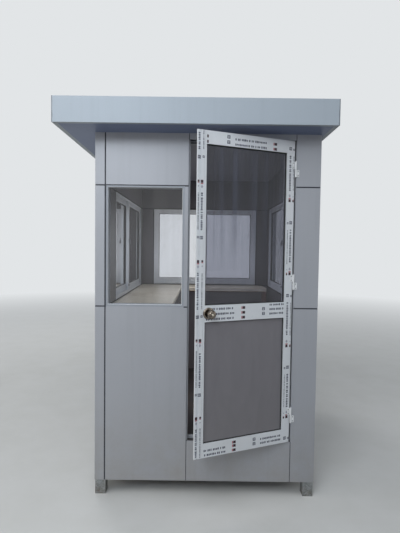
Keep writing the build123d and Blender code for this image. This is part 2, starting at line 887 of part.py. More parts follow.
def hinge_half(level, side):
    """Plate and knuckle of one half: the frame's (1) is the lower half, the leaf's (-1) the upper."""
    up = -side
    near = level + up * knuckle_gap / 2
    far = level + up * hinge_height / 2
    x_far = hinge_x + side * (knuckle_radius + hinge_plate_width)
    plate_near = near + up * hinge_plate_inset
    plate_far = far - up * hinge_plate_inset
    plate = block(min(hinge_x, x_far), max(hinge_x, x_far), front_y - hinge_plate_thickness, front_y,
                  min(plate_near, plate_far), max(plate_near, plate_far))
    corners = plate.edges().filter_by(Axis.Y).sort_by(lambda e: side * e.center().X)[-2:]
    return fillet(corners, hinge_corner_radius) + knuckle(min(near, far), max(near, far), knuckle_radius)


def hinge_frame_leaf(level):
    """Fixed half of a hinge, with the pin."""
    half = hinge_height / 2
    return hinge_half(level, 1) + knuckle(level - half, level + half, hinge_pin_radius)


def hinge_door_leaf(level):
    """Moving half of a hinge, bored for the pin."""
    half = hinge_height / 2
    bore = knuckle(level - half, level + half + overcut, hinge_pin_radius + pin_running_gap)
    return swung(hinge_half(level, -1) - bore)


# Knob set, each piece turned about its own Z and then set on a face of the leaf

def on_leaf(shape, side, stand_off):
    """Put a turned piece on the outer (-1) or inner (1) face of the leaf."""
    y = front_y - stand_off if side < 0 else leaf_back + stand_off
    return Pos(knob_x, y, knob_level) * Rot(90 if side < 0 else -90, 0, 0) * shape


def knob_rose(side):
    """Domed round plate on one face of the leaf, bored for the spindle."""
    flat_radius = rose_radius - rose_shoulder
    mid_radius = rose_radius - rose_shoulder / 3
    mid_height = rose_rim + 0.72 * (rose_thickness - rose_rim)
    outline = (Line((0, 0), (rose_radius, 0)) + Line((rose_radius, 0), (rose_radius, rose_rim))
               + ThreePointArc((rose_radius, rose_rim), (mid_radius, mid_height), (flat_radius, rose_thickness))
               + Line((flat_radius, rose_thickness), (0, rose_thickness)) + Line((0, rose_thickness), (0, 0)))
    plate = revolve(Plane.XZ * make_face(outline), Axis.Z)
    return swung(on_leaf(plate, side, 0) - spindle_hole())


def knob_body():
    """Turned knob: collar, waisted neck and a rounded grip with a dished face."""
    neck_end = knob_neck_length
    widest = neck_end + 0.45 * knob_length
    end = neck_end + knob_length
    collar = knob_collar_radius
    waist = (knob_neck_radius, (knob_collar_length + neck_end) / 2)
    back = (0.86 * knob_radius, neck_end + 0.14 * knob_length)
    front = (0.88 * knob_radius, end - 0.16 * knob_length)
    outline = (Line((0, 0), (collar, 0)) + Line((collar, 0), (collar, knob_collar_length))
               + ThreePointArc((collar, knob_collar_length), waist, (knob_neck_radius + overcut, neck_end))
               + ThreePointArc((knob_neck_radius + overcut, neck_end), back, (knob_radius, widest))
               + ThreePointArc((knob_radius, widest), front, (knob_face_radius, end))
               + Line((knob_face_radius, end), (0, end)) + Line((0, end), (0, 0)))
    body = revolve(Plane.XZ * make_face(outline), Axis.Z)
    keyway = Pos(0, 0, end) * Cylinder(keyway_radius, 2 * keyway_depth)
    return body - keyway


def door_knobs():
    """Both knobs on their common spindle."""
    stand_off = rose_thickness + knob_gap
    outer_y = front_y - stand_off
    inner_y = leaf_back + stand_off
    length = inner_y - outer_y + 2 * overcut
    middle = Pos(knob_x, (outer_y + inner_y) / 2, knob_level)
    spindle = middle * Rot(90, 0, 0) * Cylinder(spindle_radius, length)
    knobs = spindle + on_leaf(knob_body(), -1, stand_off) + on_leaf(knob_body(), 1, stand_off)
    return [swung(knobs)]


os.makedirs("parts", exist_ok=True)

cladding = corner_covers() + front_wall_panels() + threshold_panel()
cladding += left_wall_panels() + right_wall_panels() + back_wall_panels()

save("corner_posts", corner_posts())
save("base_rails", base_rails())
save("floor_joists", floor_joists())
save("floor_deck", floor_deck())
save("door_studs", door_studs())
save("wall_rails", wall_rails())
save("roof_beams", roof_beams())
save("corner_covers", corner_covers())
save("front_wall_panels", front_wall_panels())
save("threshold_panel", threshold_panel())
save("left_wall_panels", left_wall_panels())
save("right_wall_panels", right_wall_panels())
save("back_wall_panels", back_wall_panels())
save("panel_sealant", panel_sealant(cladding))
save("front_lining", front_lining())
save("left_lining", left_lining())
save("right_lining", right_lining())
save("back_lining", back_lining())
save("ceiling", ceiling())
save("door_jambs", door_jambs())
save("door_head", door_head())
save("door_sill", door_sill())
front_frame, front_pane = front_window()
save("front_window_frame", [front_frame])
panes = [front_pane]
catches = []
for window_name, wall, left, right in (("left", left_wall, -side_window_back, -side_window_front),
                                       ("right", right_wall, side_window_front, side_window_back),
                                       ("back", back_wall, -back_window_half, back_window_half)):
    frame, sashes, sash_panes, fitting = sliding_window(wall, left, right)
    save(window_name + "_window_frame", [frame])
    save(window_name + "_window_sashes", sashes)
    panes.extend(sash_panes)
    catches.append(fitting)
save("window_glass", panes)
save("window_catches", catches)
save("counter_left", counter_left())
save("counter_back", counter_back())
save("counter_cleats", counter_cleats())
save("counter_leg", counter_leg())
save("fascia", fascia())
save("soffit", soffit())
save("roof_deck", roof_deck())
save("door_lock_stile", door_lock_stile())
save("door_hinge_stile", door_hinge_stile())
save("door_rails", door_rails())
save("door_glass", door_glass())
save("door_lower_panel", door_lower_panel())
save("hinge_frame_leaves", [hinge_frame_leaf(level) for level in hinge_levels()])
save("hinge_door_leaves", [hinge_door_leaf(level) for level in hinge_levels()])
save("knob_roses", [knob_rose(-1), knob_rose(1)])
save("door_knobs", door_knobs())
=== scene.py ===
import json
import math
import random

import bmesh
import bpy
from mathutils import Matrix, Vector


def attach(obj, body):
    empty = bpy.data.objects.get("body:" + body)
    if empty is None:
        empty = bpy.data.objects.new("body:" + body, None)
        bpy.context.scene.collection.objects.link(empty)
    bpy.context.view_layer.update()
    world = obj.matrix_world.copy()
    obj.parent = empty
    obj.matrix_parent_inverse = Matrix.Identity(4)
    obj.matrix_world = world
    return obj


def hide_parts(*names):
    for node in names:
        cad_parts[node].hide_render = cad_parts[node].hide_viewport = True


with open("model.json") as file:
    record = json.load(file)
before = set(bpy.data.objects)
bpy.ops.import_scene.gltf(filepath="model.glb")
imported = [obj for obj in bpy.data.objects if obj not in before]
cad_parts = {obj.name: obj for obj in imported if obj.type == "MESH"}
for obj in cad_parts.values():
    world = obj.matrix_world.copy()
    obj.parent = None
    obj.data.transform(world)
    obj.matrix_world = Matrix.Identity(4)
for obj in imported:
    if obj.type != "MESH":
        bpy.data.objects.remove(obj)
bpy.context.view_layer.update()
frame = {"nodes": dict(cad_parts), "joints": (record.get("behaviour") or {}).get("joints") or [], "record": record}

# Looks of the security guard booth: materials, seals, screws, film print, camera and light.
# Metres, Z up, in the frame of the CAD model: the door side is the front and faces -Y.

bpy.context.scene.view_settings.view_transform = "Standard"
NODES = frame["nodes"]
JOINTS = {joint["name"]: joint for joint in frame["joints"]}

MM = 0.001
STILL = Matrix.Identity(4)


# Building blocks of meshes

def srgb(red, green, blue):
    """Linear colour of an sRGB colour written from 0 to 255."""
    def linear(value):
        value /= 255
        return value / 12.92 if value <= 0.04045 else ((value + 0.055) / 1.055) ** 2.4
    return linear(red), linear(green), linear(blue), 1.0


def add_object(name, data):
    """A new object in the scene."""
    thing = bpy.data.objects.new(name, data)
    bpy.context.scene.collection.objects.link(thing)
    return thing


def mesh_object(name, bm, material):
    """Turn a bmesh into an object."""
    mesh = bpy.data.meshes.new(name)
    bm.to_mesh(mesh)
    bm.free()
    mesh.materials.append(material)
    return add_object(name, mesh)


def finish_mesh(name, bm, material, smooth_angle=None, body="booth"):
    """Turn a bmesh into a piece that rides on a body."""
    bmesh.ops.recalc_face_normals(bm, faces=bm.faces)
    piece = mesh_object(name, bm, material)
    mesh = piece.data
    if smooth_angle is not None:
        for polygon in mesh.polygons:
            polygon.use_smooth = True
        mesh.set_sharp_from_angle(angle=math.radians(smooth_angle))
    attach(piece, body)
    return piece


def moved(place):
    """Matrix of a move."""
    return Matrix.Translation(place)


def turned(degrees, axis="Z"):
    """Matrix of a turn about an axis."""
    return Matrix.Rotation(math.radians(degrees), 4, axis)


def add_box(bm, low, high, matrix=STILL):
    """A closed box between two corners, moved by a matrix."""
    corners = [(x, y, z) for z in (low[2], high[2]) for y in (low[1], high[1]) for x in (low[0], high[0])]
    verts = [bm.verts.new(matrix @ Vector(corner)) for corner in corners]
    for face in ((0, 1, 3, 2), (4, 6, 7, 5), (0, 4, 5, 1), (2, 3, 7, 6), (0, 2, 6, 4), (1, 5, 7, 3)):
        bm.faces.new([verts[i] for i in face])


def bridge(bm, near, far):
    """Faces between two closed rings of points; a ring of one point is a tip."""
    count = max(len(near), len(far))
    for i in range(count):
        j = (i + 1) % count
        if len(near) == 1:
            bm.faces.new((near[0], far[j], far[i]))
        elif len(far) == 1:
            bm.faces.new((near[i], near[j], far[0]))
        else:
            bm.faces.new((near[i], near[j], far[j], far[i]))


def add_loop(bm, section, low, high, matrix):
    """A mitred rectangular loop: a closed section of (inwards, forwards) points run round a rectangle.

    low and high are the rectangle's corners in the matrix's own X and Z; -Y is forwards.
    """
    rings = []
    for sx, sz in ((0, 0), (1, 0), (1, 1), (0, 1)):
        ring = []
        for inwards, forwards in section:
            x = (high[0] - inwards) if sx else (low[0] + inwards)
            z = (high[1] - inwards) if sz else (low[1] + inwards)
            ring.append(bm.verts.new(matrix @ Vector((x, -forwards, z))))
        rings.append(ring)
    for i in range(4):
        bridge(bm, rings[i], rings[(i + 1) % 4])


def add_strip(bm, section, start, end, matrix):
    """A straight bar: a closed section of (across, forwards) points run from start to end in Z."""
    rings = []
    for z in (start, end):
        rings.append([bm.verts.new(matrix @ Vector((across, -out, z))) for across, out in section])
    bridge(bm, *rings)
    bm.faces.new(rings[0])
    bm.faces.new(list(reversed(rings[1])))


def add_turned(bm, profile, matrix, segments=24):
    """A turned shape: (radius, height) points about the matrix's Z, closed at both ends on the axis."""
    rings = []
    for radius, height in profile:
        if radius == 0:
            rings.append([bm.verts.new(matrix @ Vector((0, 0, height)))])
            continue
        ring = []
        for i in range(segments):
            angle = 2 * math.pi * i / segments
            point = Vector((radius * math.cos(angle), radius * math.sin(angle), height))
            ring.append(bm.verts.new(matrix @ point))
        rings.append(ring)
    for low, high in zip(rings, rings[1:]):
        bridge(bm, low, high)


def half_round(width, rise, steps=6):
    """Section of a seal: flat at the back, a half ellipse in front."""
    points = []
    for i in range(steps + 1):
        angle = math.pi * i / steps
        points.append((width / 2 * (1 - math.cos(angle)), rise * math.sin(angle)))
    return points


# Places read from the CAD model

SWING = JOINTS["door_swing"]
HINGE = Vector(SWING["pos_m"])
OPENED = moved(HINGE) @ turned(-SWING["range_deg"][0]) @ moved(-HINGE)
SHUT = OPENED.inverted()


def limits(points):
    """Lowest and highest corner of some points."""
    return [Vector([pick(p[i] for p in points) for i in range(3)]) for pick in (min, max)]


def box_of(name, matrix=STILL):
    """Lowest and highest corner of a node, after a matrix."""
    return limits([matrix @ v.co for v in NODES[name].data.vertices])


def solid_boxes(name, matrix=STILL):
    """Boxes of the separate solids in a node, after a matrix, in the order of their lowest corners."""
    bm = bmesh.new()
    bm.from_mesh(NODES[name].data)
    bmesh.ops.remove_doubles(bm, verts=bm.verts, dist=1e-6)
    left = set(bm.verts)
    boxes = []
    while left:
        front = [left.pop()]
        island = list(front)
        while front:
            for edge in front.pop().link_edges:
                for vert in edge.verts:
                    if vert in left:
                        left.remove(vert)
                        front.append(vert)
                        island.append(vert)
        boxes.append(limits([matrix @ v.co for v in island]))
    bm.free()
    return sorted(boxes, key=lambda box: tuple(round(v, 4) for v in box[0]))


# Materials

def shade(colour, factor):
    """A linear colour made darker or paler."""
    return tuple(min(1.0, factor * c) for c in colour[:3]) + (1.0,)


class Shader:
    """A material or world made node by node. A value is a number, a colour or another node's output."""

    def __init__(self, name, owners=bpy.data.materials):
        self.owner = owners.new(name)
        self.owner.use_nodes = True
        self.nodes = self.owner.node_tree.nodes
        self.links = self.owner.node_tree.links
        self.nodes.clear()
        self.place = self.add("TexCoord").outputs["Object"]
        self.normal = None

    def put(self, socket, value):
        if isinstance(value, bpy.types.NodeSocket):
            self.links.new(value, socket)
        else:
            socket.default_value = value

    def add(self, kind, inputs=None, **settings):
        """A new node, its kind named without the leading ShaderNode."""
        node = self.nodes.new("ShaderNode" + kind)
        for key, value in settings.items():
            setattr(node, key, value)
        for key, value in (inputs or {}).items():
            self.put(node.inputs[key], value)
        return node

    def math(self, operation, a, b=0.0, clamp=False):
        return self.add("Math", {0: a, 1: b}, operation=operation, use_clamp=clamp).outputs[0]

    def stretched(self, x, y, z):
        """Coordinates scaled along each axis."""
        return self.add("Mapping", {"Vector": self.place, "Scale": (x, y, z)}).outputs[0]

    def noise(self, scale, detail=3.0, roughness=0.5, vector=None, distortion=0.0):
        inputs = {"Vector": vector or self.place, "Scale": scale, "Detail": detail,
                  "Roughness": roughness, "Distortion": distortion}
        return self.add("TexNoise", inputs).outputs["Fac"]

    def cells(self, scale, output="Distance"):
        return self.add("TexVoronoi", {"Vector": self.place, "Scale": scale}).outputs[output]

    def span(self, value, low, high, to_low=0.0, to_high=1.0):
        """Map a value from one range to another, held at its ends."""
        inputs = {"Value": value, "From Min": low, "From Max": high, "To Min": to_low, "To Max": to_high}
        return self.add("MapRange", inputs).outputs["Result"]

    def mix(self, factor, a, b):
        node = self.add("Mix", data_type="RGBA")
        self.put(node.inputs["Factor"], factor)
        self.put(node.inputs[6], a)
        self.put(node.inputs[7], b)
        return node.outputs[2]

    def lay(self, base, colour, mask, share=1.0):
        """Lay a share of a colour on a base where a mask is 1."""
        return self.mix(self.math("MULTIPLY", mask, share), base, colour)

    def part(self, vector, name):
        """One of the three numbers of a vector or colour."""
        return self.add("SeparateXYZ", {0: vector}).outputs[name]

    def axis(self, name):
        return self.part(self.place, name)

    def bump(self, height, strength, distance):
        """Lay one more layer of bump on the surface."""
        inputs = {"Height": height, "Strength": strength, "Distance": distance}
        if self.normal is not None:
            inputs["Normal"] = self.normal
        self.normal = self.add("Bump", inputs).outputs["Normal"]

    def round_edges(self, radius):
        self.normal = self.add("Bevel", {"Radius": radius}, samples=4).outputs["Normal"]

    def principled(self, **inputs):
        named = {key.replace("_", " "): value for key, value in inputs.items()}
        if self.normal is not None:
            named["Normal"] = self.normal
        return self.add("BsdfPrincipled", named).outputs[0]

    def blend(self, factor, a, b):
        """Mix two shaders."""
        return self.add("MixShader", {0: factor, 1: a, 2: b}).outputs[0]

    def seen(self):
        """1 for rays of the camera and for what mirrors and panes show, 0 for the light itself."""
        rays = self.add("LightPath").outputs
        direct = self.math("MAXIMUM", rays["Is Camera Ray"], rays["Is Transmission Ray"])
        return self.math("MAXIMUM", direct, rays["Is Glossy Ray"])

    def out(self, surface, kind="OutputMaterial"):
        self.add(kind, {"Surface": surface})
        return self.owner


def painted_sheet(name, colour, roughness=0.46, metallic=0.2, dirt=1.0, corners=()):
    """Composite sheet with a silver coating: fine flake, faint waves, streaks, dust and scratches, and a darkening
    towards the bottom that is partly dust and partly painted shade.

    corners are upright seams, as X and Y, that are darkened along a narrow smeared line.
    """
    s = Shader(name)
    dust = srgb(150, 142, 128)
    dark, pale = shade(colour, 0.62), shade(colour, 1.12)
    broad = s.noise(1.7, 4.0, 0.55)
    flake = s.noise(1500.0, 2.0, 0.6)
    base = s.mix(s.span(broad, 0.3, 0.7, 0.0, 0.30), colour, pale)
    base = s.mix(s.span(flake, 0.35, 0.75, 0.0, 0.22), base, dark)
    runs = s.noise(1.0, 3.0, 0.6, s.stretched(22.0, 22.0, 0.7))
    base = s.mix(s.span(runs, 0.52, 0.78, 0.0, 0.16 * dirt), base, dark)
    # darker towards the bottom: partly splash dust, partly painted shade of the lower sheets
    low_dust_and_shade = s.span(s.axis("Z"), 0.10, 0.75, 1.0, 0.0)
    splash = s.math("MULTIPLY", low_dust_and_shade, s.span(s.noise(9.0, 6.0, 0.7), 0.25, 0.75))
    base = s.lay(base, dust, splash, 0.42 * dirt)
    base = s.lay(base, dust, s.span(s.noise(160.0, 2.0, 0.5), 0.66, 0.74), 0.25 * dirt)
    for x, y in corners:
        away = s.math("MAXIMUM", s.math("ABSOLUTE", s.math("SUBTRACT", s.axis("X"), x)),
                      s.math("ABSOLUTE", s.math("SUBTRACT", s.axis("Y"), y)))
        smear = s.math("ADD", away, s.span(s.noise(35.0, 3.0, 0.6), 0.3, 0.7, -1.5 * MM, 1.5 * MM))
        base = s.mix(s.span(smear, 5 * MM, 8 * MM, 0.62, 0.0), base, srgb(72, 78, 88))
    scratch = s.span(s.noise(1.0, 2.0, 0.5, s.stretched(260.0, 260.0, 14.0)), 0.70, 0.76)
    rough = s.math("ADD", s.span(broad, 0.2, 0.8, roughness - 0.05, roughness + 0.06),
                   s.math("MULTIPLY", s.math("ADD", splash, scratch), 0.16))
    s.round_edges(0.8 * MM)
    s.bump(s.noise(2.6, 2.0, 0.4), 0.10, 8 * MM)
    s.bump(flake, 0.05, 0.05 * MM)
    s.bump(scratch, 0.10, 0.05 * MM)
    return s.out(s.principled(Base_Color=base, Metallic=metallic, Roughness=rough,
                              Coat_Weight=0.12, Coat_Roughness=0.34))


def powder_coat(name, colour, roughness=0.38, dirt=1.0):
    """Powder-coated aluminium profile: orange peel, dust and small marks."""
    s = Shader(name)
    grime = srgb(118, 112, 102)
    peel = s.noise(900.0, 2.0, 0.5)
    broad = s.noise(4.0, 4.0, 0.6)
    base = s.mix(s.span(broad, 0.35, 0.75, 0.0, 0.14 * dirt), colour, grime)
    base = s.lay(base, grime, s.span(s.noise(60.0, 5.0, 0.7), 0.62, 0.72), 0.22 * dirt)
    rough = s.span(broad, 0.2, 0.8, roughness - 0.05, roughness + 0.10)
    s.round_edges(0.8 * MM)
    s.bump(peel, 0.10, 0.08 * MM)
    return s.out(s.principled(Base_Color=base, Roughness=rough, Coat_Weight=0.15, Coat_Roughness=0.25))


def door_film(name):
    """White profile under a clear protective film with small creases and trapped air."""
    s = Shader(name)
    colour = srgb(228, 232, 237)
    grime = srgb(168, 166, 166)
    broad = s.noise(3.0, 4.0, 0.6)
    bubbles = s.span(s.cells(120.0), 0.0, 0.22, 1.0, 0.0)
    patch = s.span(s.noise(14.0, 2.0, 0.5), 0.56, 0.66)
    air = s.math("MULTIPLY", bubbles, patch)
    base = s.mix(s.span(broad, 0.35, 0.8, 0.0, 0.20), colour, grime)
    smear = s.span(s.noise(45.0, 4.0, 0.7), 0.60, 0.75, 0.0, 0.18)
    base = s.mix(smear, base, grime)
    base = s.lay(base, srgb(238, 241, 244), air, 0.25)
    crease = s.noise(1.0, 3.0, 0.6, s.stretched(70.0, 70.0, 9.0), 0.6)
    rough = s.span(broad, 0.2, 0.8, 0.26, 0.42)
    s.round_edges(0.8 * MM)
    s.bump(s.span(crease, 0.46, 0.54), 0.10, 0.15 * MM)
    s.bump(air, 0.25, 0.15 * MM)
    return s.out(s.principled(Base_Color=base, Roughness=rough, Coat_Weight=0.4, Coat_Roughness=0.12))


def panel_board(name):
    """Dark grey lower panel of the door: fine grain, faint marks of wiping."""
    s = Shader(name)
    colour = srgb(126, 124, 129)
    dark = srgb(111, 109, 115)
    dust = srgb(130, 127, 124)
    grain = s.noise(700.0, 3.0, 0.6)
    wipe = s.noise(1.0, 4.0, 0.6, s.stretched(10.0, 10.0, 3.0), 0.8)
    base = s.mix(s.span(wipe, 0.35, 0.7, 0.0, 0.4), colour, dark)
    base = s.mix(s.span(grain, 0.3, 0.7, 0.0, 0.25), base, dark)
    base = s.lay(base, dust, s.span(s.axis("Z"), 0.45, 0.9, 0.35, 0.0), s.noise(12.0, 5.0, 0.7))
    rough = s.span(wipe, 0.3, 0.7, 0.42, 0.56)
    s.bump(grain, 0.12, 0.1 * MM)
    return s.out(s.principled(Base_Color=base, Metallic=0.1, Roughness=rough,
                              Coat_Weight=0.1, Coat_Roughness=0.3))


def zinc(name):
    """Galvanised steel: spangle, dull patches, white bloom, rust and mud near the ground."""
    s = Shader(name)
    tone = s.part(s.cells(130.0, "Color"), "X")
    base = s.mix(s.span(tone, 0.0, 1.0), srgb(126, 131, 133), srgb(166, 171, 173))
    base = s.lay(base, srgb(182, 184, 180), s.span(s.noise(18.0, 5.0, 0.65), 0.50, 0.70), 0.45)
    height = s.axis("Z")
    splash = s.span(s.noise(40.0, 5.0, 0.7), 0.30, 0.62)
    mud = s.math("MULTIPLY", s.span(height, 0.0, 0.12, 1.0, 0.0), splash)
    base = s.lay(base, srgb(96, 84, 68), mud, 0.75)
    spots = s.span(s.noise(55.0, 6.0, 0.7), 0.60, 0.68)
    rust = s.math("MULTIPLY", spots, s.span(height, 0.0, 0.3, 1.0, 0.25))
    base = s.lay(base, srgb(120, 66, 36), rust, 0.7)
    dull = s.math("MAXIMUM", mud, rust)
    rough = s.math("ADD", s.span(tone, 0.0, 1.0, 0.36, 0.52), s.math("MULTIPLY", dull, 0.35), clamp=True)
    metal = s.math("SUBTRACT", 0.75, s.math("MULTIPLY", dull, 0.7), clamp=True)
    s.bump(s.noise(220.0, 3.0, 0.5), 0.12, 0.2 * MM)
    return s.out(s.principled(Base_Color=base, Metallic=metal, Roughness=rough))


def rubber(name, colour, dusty):
    """Dark rubber or sealant with dust on it."""
    s = Shader(name)
    dust = srgb(120, 118, 112)
    base = s.mix(s.span(s.noise(30.0, 5.0, 0.7), 0.45, 0.75, 0.0, dusty), colour, dust)
    s.bump(s.noise(400.0, 3.0, 0.6), 0.2, 0.15 * MM)
    return s.out(s.principled(Base_Color=base, Roughness=s.span(s.noise(20.0), 0.3, 0.7, 0.55, 0.75)))


GREY_DUST = (0.50, 0.49, 0.45, 1.0)


def glass(name, tint, dust_amount, streaks, film_colour=GREY_DUST, streak_scale=26.0, heights=(0, 0.1)):
    """A pane: clear glass that lets the lamps through, with dust, wipe marks and faint runs on it.

    The runs fade in between two heights.
    """
    s = Shader(name)
    wipe = s.noise(1.0, 4.0, 0.65, s.stretched(6.0, 6.0, 2.5), 1.0)
    fine = s.noise(240.0, 3.0, 0.6)
    runs = s.noise(1.0, 3.0, 0.6, s.stretched(streak_scale, streak_scale, 0.4), 0.2)
    runs = s.math("MULTIPLY", s.span(runs, 0.44, 0.74, 0.0, streaks), s.span(s.axis("Z"), *heights))
    film = s.math("ADD", s.span(wipe, 0.45, 0.85, 0.0, dust_amount), runs)
    film = s.math("ADD", film, s.math("MULTIPLY", s.span(fine, 0.55, 0.75), 0.5 * dust_amount), clamp=True)
    pane = s.principled(Base_Color=tint, Roughness=0.0, IOR=1.45, Transmission_Weight=1.0,
                        Specular_IOR_Level=0.25)
    through = s.add("BsdfTransparent", {"Color": tint}).outputs[0]
    rays = s.add("LightPath").outputs
    lamps = s.math("MAXIMUM", rays["Is Shadow Ray"], rays["Is Diffuse Ray"])
    dusty = s.add("BsdfDiffuse", {"Color": film_colour, "Roughness": 0.6}).outputs[0]
    return s.out(s.blend(film, s.blend(lamps, pane, through), dusty))


def laminate(name):
    """Pale beige counter top: faint flecks, stains, dust and a slight sheen."""
    s = Shader(name)
    base = s.mix(s.span(s.noise(5.0, 5.0, 0.6), 0.35, 0.7), srgb(214, 206, 186), srgb(192, 181, 160))
    base = s.lay(base, srgb(140, 132, 118), s.span(s.noise(420.0, 2.0, 0.5), 0.60, 0.68), 0.35)
    stain = s.span(s.noise(3.2, 6.0, 0.7, None, 0.7), 0.56, 0.70)
    base = s.lay(base, srgb(140, 130, 112), stain, 0.22)
    dust = s.span(s.noise(60.0, 5.0, 0.75), 0.55, 0.72)
    base = s.lay(base, srgb(205, 200, 190), dust, 0.2)
    rough = s.math("ADD", s.span(stain, 0.0, 1.0, 0.34, 0.46), s.math("MULTIPLY", dust, 0.2))
    s.bump(s.noise(800.0, 2.0, 0.5), 0.06, 0.08 * MM)
    return s.out(s.principled(Base_Color=base, Roughness=rough, Coat_Weight=0.1, Coat_Roughness=0.25))


def timber(name, dark, light, roughness):
    """Stained timber: long grain, pores and soft edges."""
    s = Shader(name)
    grain = s.noise(1.0, 5.0, 0.65, s.stretched(90.0, 90.0, 5.0), 0.4)
    pores = s.span(s.noise(1.0, 2.0, 0.5, s.stretched(600.0, 600.0, 25.0)), 0.60, 0.72)
    base = s.mix(s.span(grain, 0.3, 0.7), dark, light)
    base = s.lay(base, shade(dark, 0.4), pores, 0.5)
    s.round_edges(1.2 * MM)
    s.bump(grain, 0.15, 0.4 * MM)
    rough = s.span(grain, 0.3, 0.7, roughness, roughness + 0.15)
    return s.out(s.principled(Base_Color=base, Roughness=rough))


def floor_board(name):
    """Dark sheet flooring with trodden dust on top, bare ply underneath."""
    s = Shader(name)
    top = s.mix(s.span(s.noise(90.0, 4.0, 0.7), 0.4, 0.65), srgb(46, 45, 48), srgb(62, 60, 62))
    tread = s.span(s.noise(4.5, 6.0, 0.7, None, 0.5), 0.46, 0.68)
    top = s.lay(top, srgb(128, 118, 104), tread, 0.30)
    ply = s.noise(1.0, 4.0, 0.6, s.stretched(4.0, 60.0, 60.0), 0.6)
    under = s.mix(s.span(ply, 0.3, 0.7), srgb(150, 112, 74), srgb(182, 142, 98))
    up = s.part(s.add("NewGeometry").outputs["True Normal"], "Z")
    base = s.mix(s.span(up, 0.4, 0.6), under, top)
    s.bump(s.noise(300.0, 3.0, 0.6), 0.15, 0.3 * MM)
    return s.out(s.principled(Base_Color=base, Roughness=s.span(tread, 0.0, 1.0, 0.48, 0.7)))


def polished(name):
    """Polished metal: glossy brown with darker smears and near-black patches; the darkness is partly the metal's
    own tone, partly painted reflection of dark surroundings.
    """
    s = Shader(name)
    smear = s.noise(70.0, 4.0, 0.6)
    blotch_and_reflection = s.noise(150.0, 3.0, 0.6)
    # darker tones and near-black patches: partly the metal's tone, partly painted reflection of dark surroundings
    base = s.mix(s.span(smear, 0.4, 0.7), srgb(142, 134, 124), srgb(90, 80, 71))
    base = s.mix(s.span(blotch_and_reflection, 0.5, 0.65, 0.0, 0.6), base, srgb(50, 43, 38))
    s.bump(smear, 0.15, 0.3 * MM)
    return s.out(s.principled(Base_Color=base, Metallic=1.0, Roughness=s.span(smear, 0.3, 0.7, 0.10, 0.24)))


def plain_finish(name, colour, roughness, metallic=0.0):
    """Small fittings: a colour with a little wear and grain."""
    s = Shader(name)
    worn = s.span(s.noise(260.0, 5.0, 0.7), 0.52, 0.72, 0.0, 0.35)
    base = s.mix(worn, colour, shade(colour, 0.5))
    s.bump(s.noise(900.0, 2.0, 0.5), 0.08, 0.05 * MM)
    rough = s.span(worn, 0.0, 0.35, roughness, roughness + 0.15)
    return s.out(s.principled(Base_Color=base, Metallic=metallic, Roughness=rough))


def roof_metal(name):
    """Ribbed roof sheet: zinc coating, rain marks and patches of dirt."""
    s = Shader(name)
    spangle = s.part(s.cells(90.0, "Color"), "X")
    base = s.mix(spangle, srgb(146, 152, 155), srgb(166, 171, 174))
    rain = s.span(s.noise(1.0, 5.0, 0.7, s.stretched(16.0, 2.0, 16.0), 0.4), 0.42, 0.72)
    base = s.lay(base, srgb(132, 126, 114), rain, 0.40)
    base = s.lay(base, srgb(98, 88, 72), s.span(s.noise(11.0, 6.0, 0.75), 0.58, 0.72), 0.35)
    rough = s.math("ADD", s.span(spangle, 0.0, 1.0, 0.46, 0.56), s.math("MULTIPLY", rain, 0.22))
    s.bump(s.noise(140.0, 3.0, 0.5), 0.08, 0.3 * MM)
    return s.out(s.principled(Base_Color=base, Metallic=0.3, Roughness=rough))


ROOF_LOW, ROOF_HIGH = box_of("fascia")
FASCIA_CORNERS = [(x, y) for x in (ROOF_LOW.x, ROOF_HIGH.x) for y in (ROOF_LOW.y, ROOF_HIGH.y)]

LOOKS = {name: make(name, *values) for name, make, *values in (
    ("galvanised_steel", zinc),
    ("cladding_silver", painted_sheet, srgb(168, 171, 178)),
    ("joint_sealant", rubber, srgb(46, 49, 58), 0.25),
    # the room's lining is the silver sheet coloured dark grey: painted shade of the room
    ("lining_grey", painted_sheet, srgb(86, 84, 89), 0.46, 0.1, 0.5),
    ("floor_dark", floor_board),
    ("door_frame_aluminium", powder_coat, srgb(170, 174, 180)),
    ("window_aluminium", powder_coat, srgb(214, 219, 224)),
    ("catch_black", plain_finish, srgb(88, 90, 95), 0.42),
    ("clear_glass", glass, srgb(239, 240, 243), 0.06, 0.02),
    ("counter_laminate", laminate),
    ("counter_timber", timber, srgb(52, 30, 26), srgb(78, 46, 38), 0.45),
    # the fascia is the cladding's sheet coloured a little paler and bluer, as painted light; the soffit is the
    # same sheet coloured darker and bluer, as painted shade under the eave
    ("fascia_silver", painted_sheet, srgb(168, 178, 188), 0.55, 0.12, 0.8, FASCIA_CORNERS),
    ("soffit_grey", painted_sheet, srgb(116, 130, 164), 0.5, 0.12, 0.3),
    ("roof_sheet", roof_metal),
    ("door_white", door_film),
    ("door_panel_grey", panel_board),
    ("hinge_white", powder_coat, srgb(236, 238, 240), 0.3, 0.5),
    ("knob_steel", polished),
)}
for row in frame["record"]["subparts"]:
    node = NODES[row["node"]]
    node.data.materials.clear()
    node.data.materials.append(LOOKS[row["material_slot"]])

# the ceiling is a paler copy of the lining's sheet; the walls' darker copy is painted shade of the room
NODES["ceiling"].data.materials[0] = painted_sheet("ceiling_pale", srgb(146, 148, 162), 0.46, 0.05, 0.3)
NODES["door_glass"].data.materials[0] = glass("door_glass_tinted", srgb(164, 166, 178), 0.04, 0.26,
                                              srgb(124, 130, 148), 30.0, (1.55, 1.8))
FRONT_FRAME = powder_coat("front_frame_silver", srgb(156, 162, 172))
BLACK_RUBBER = rubber("black_rubber", srgb(16, 17, 20), 0.12)
SEALANT = rubber("room_sealant", srgb(15, 16, 19), 0.06)
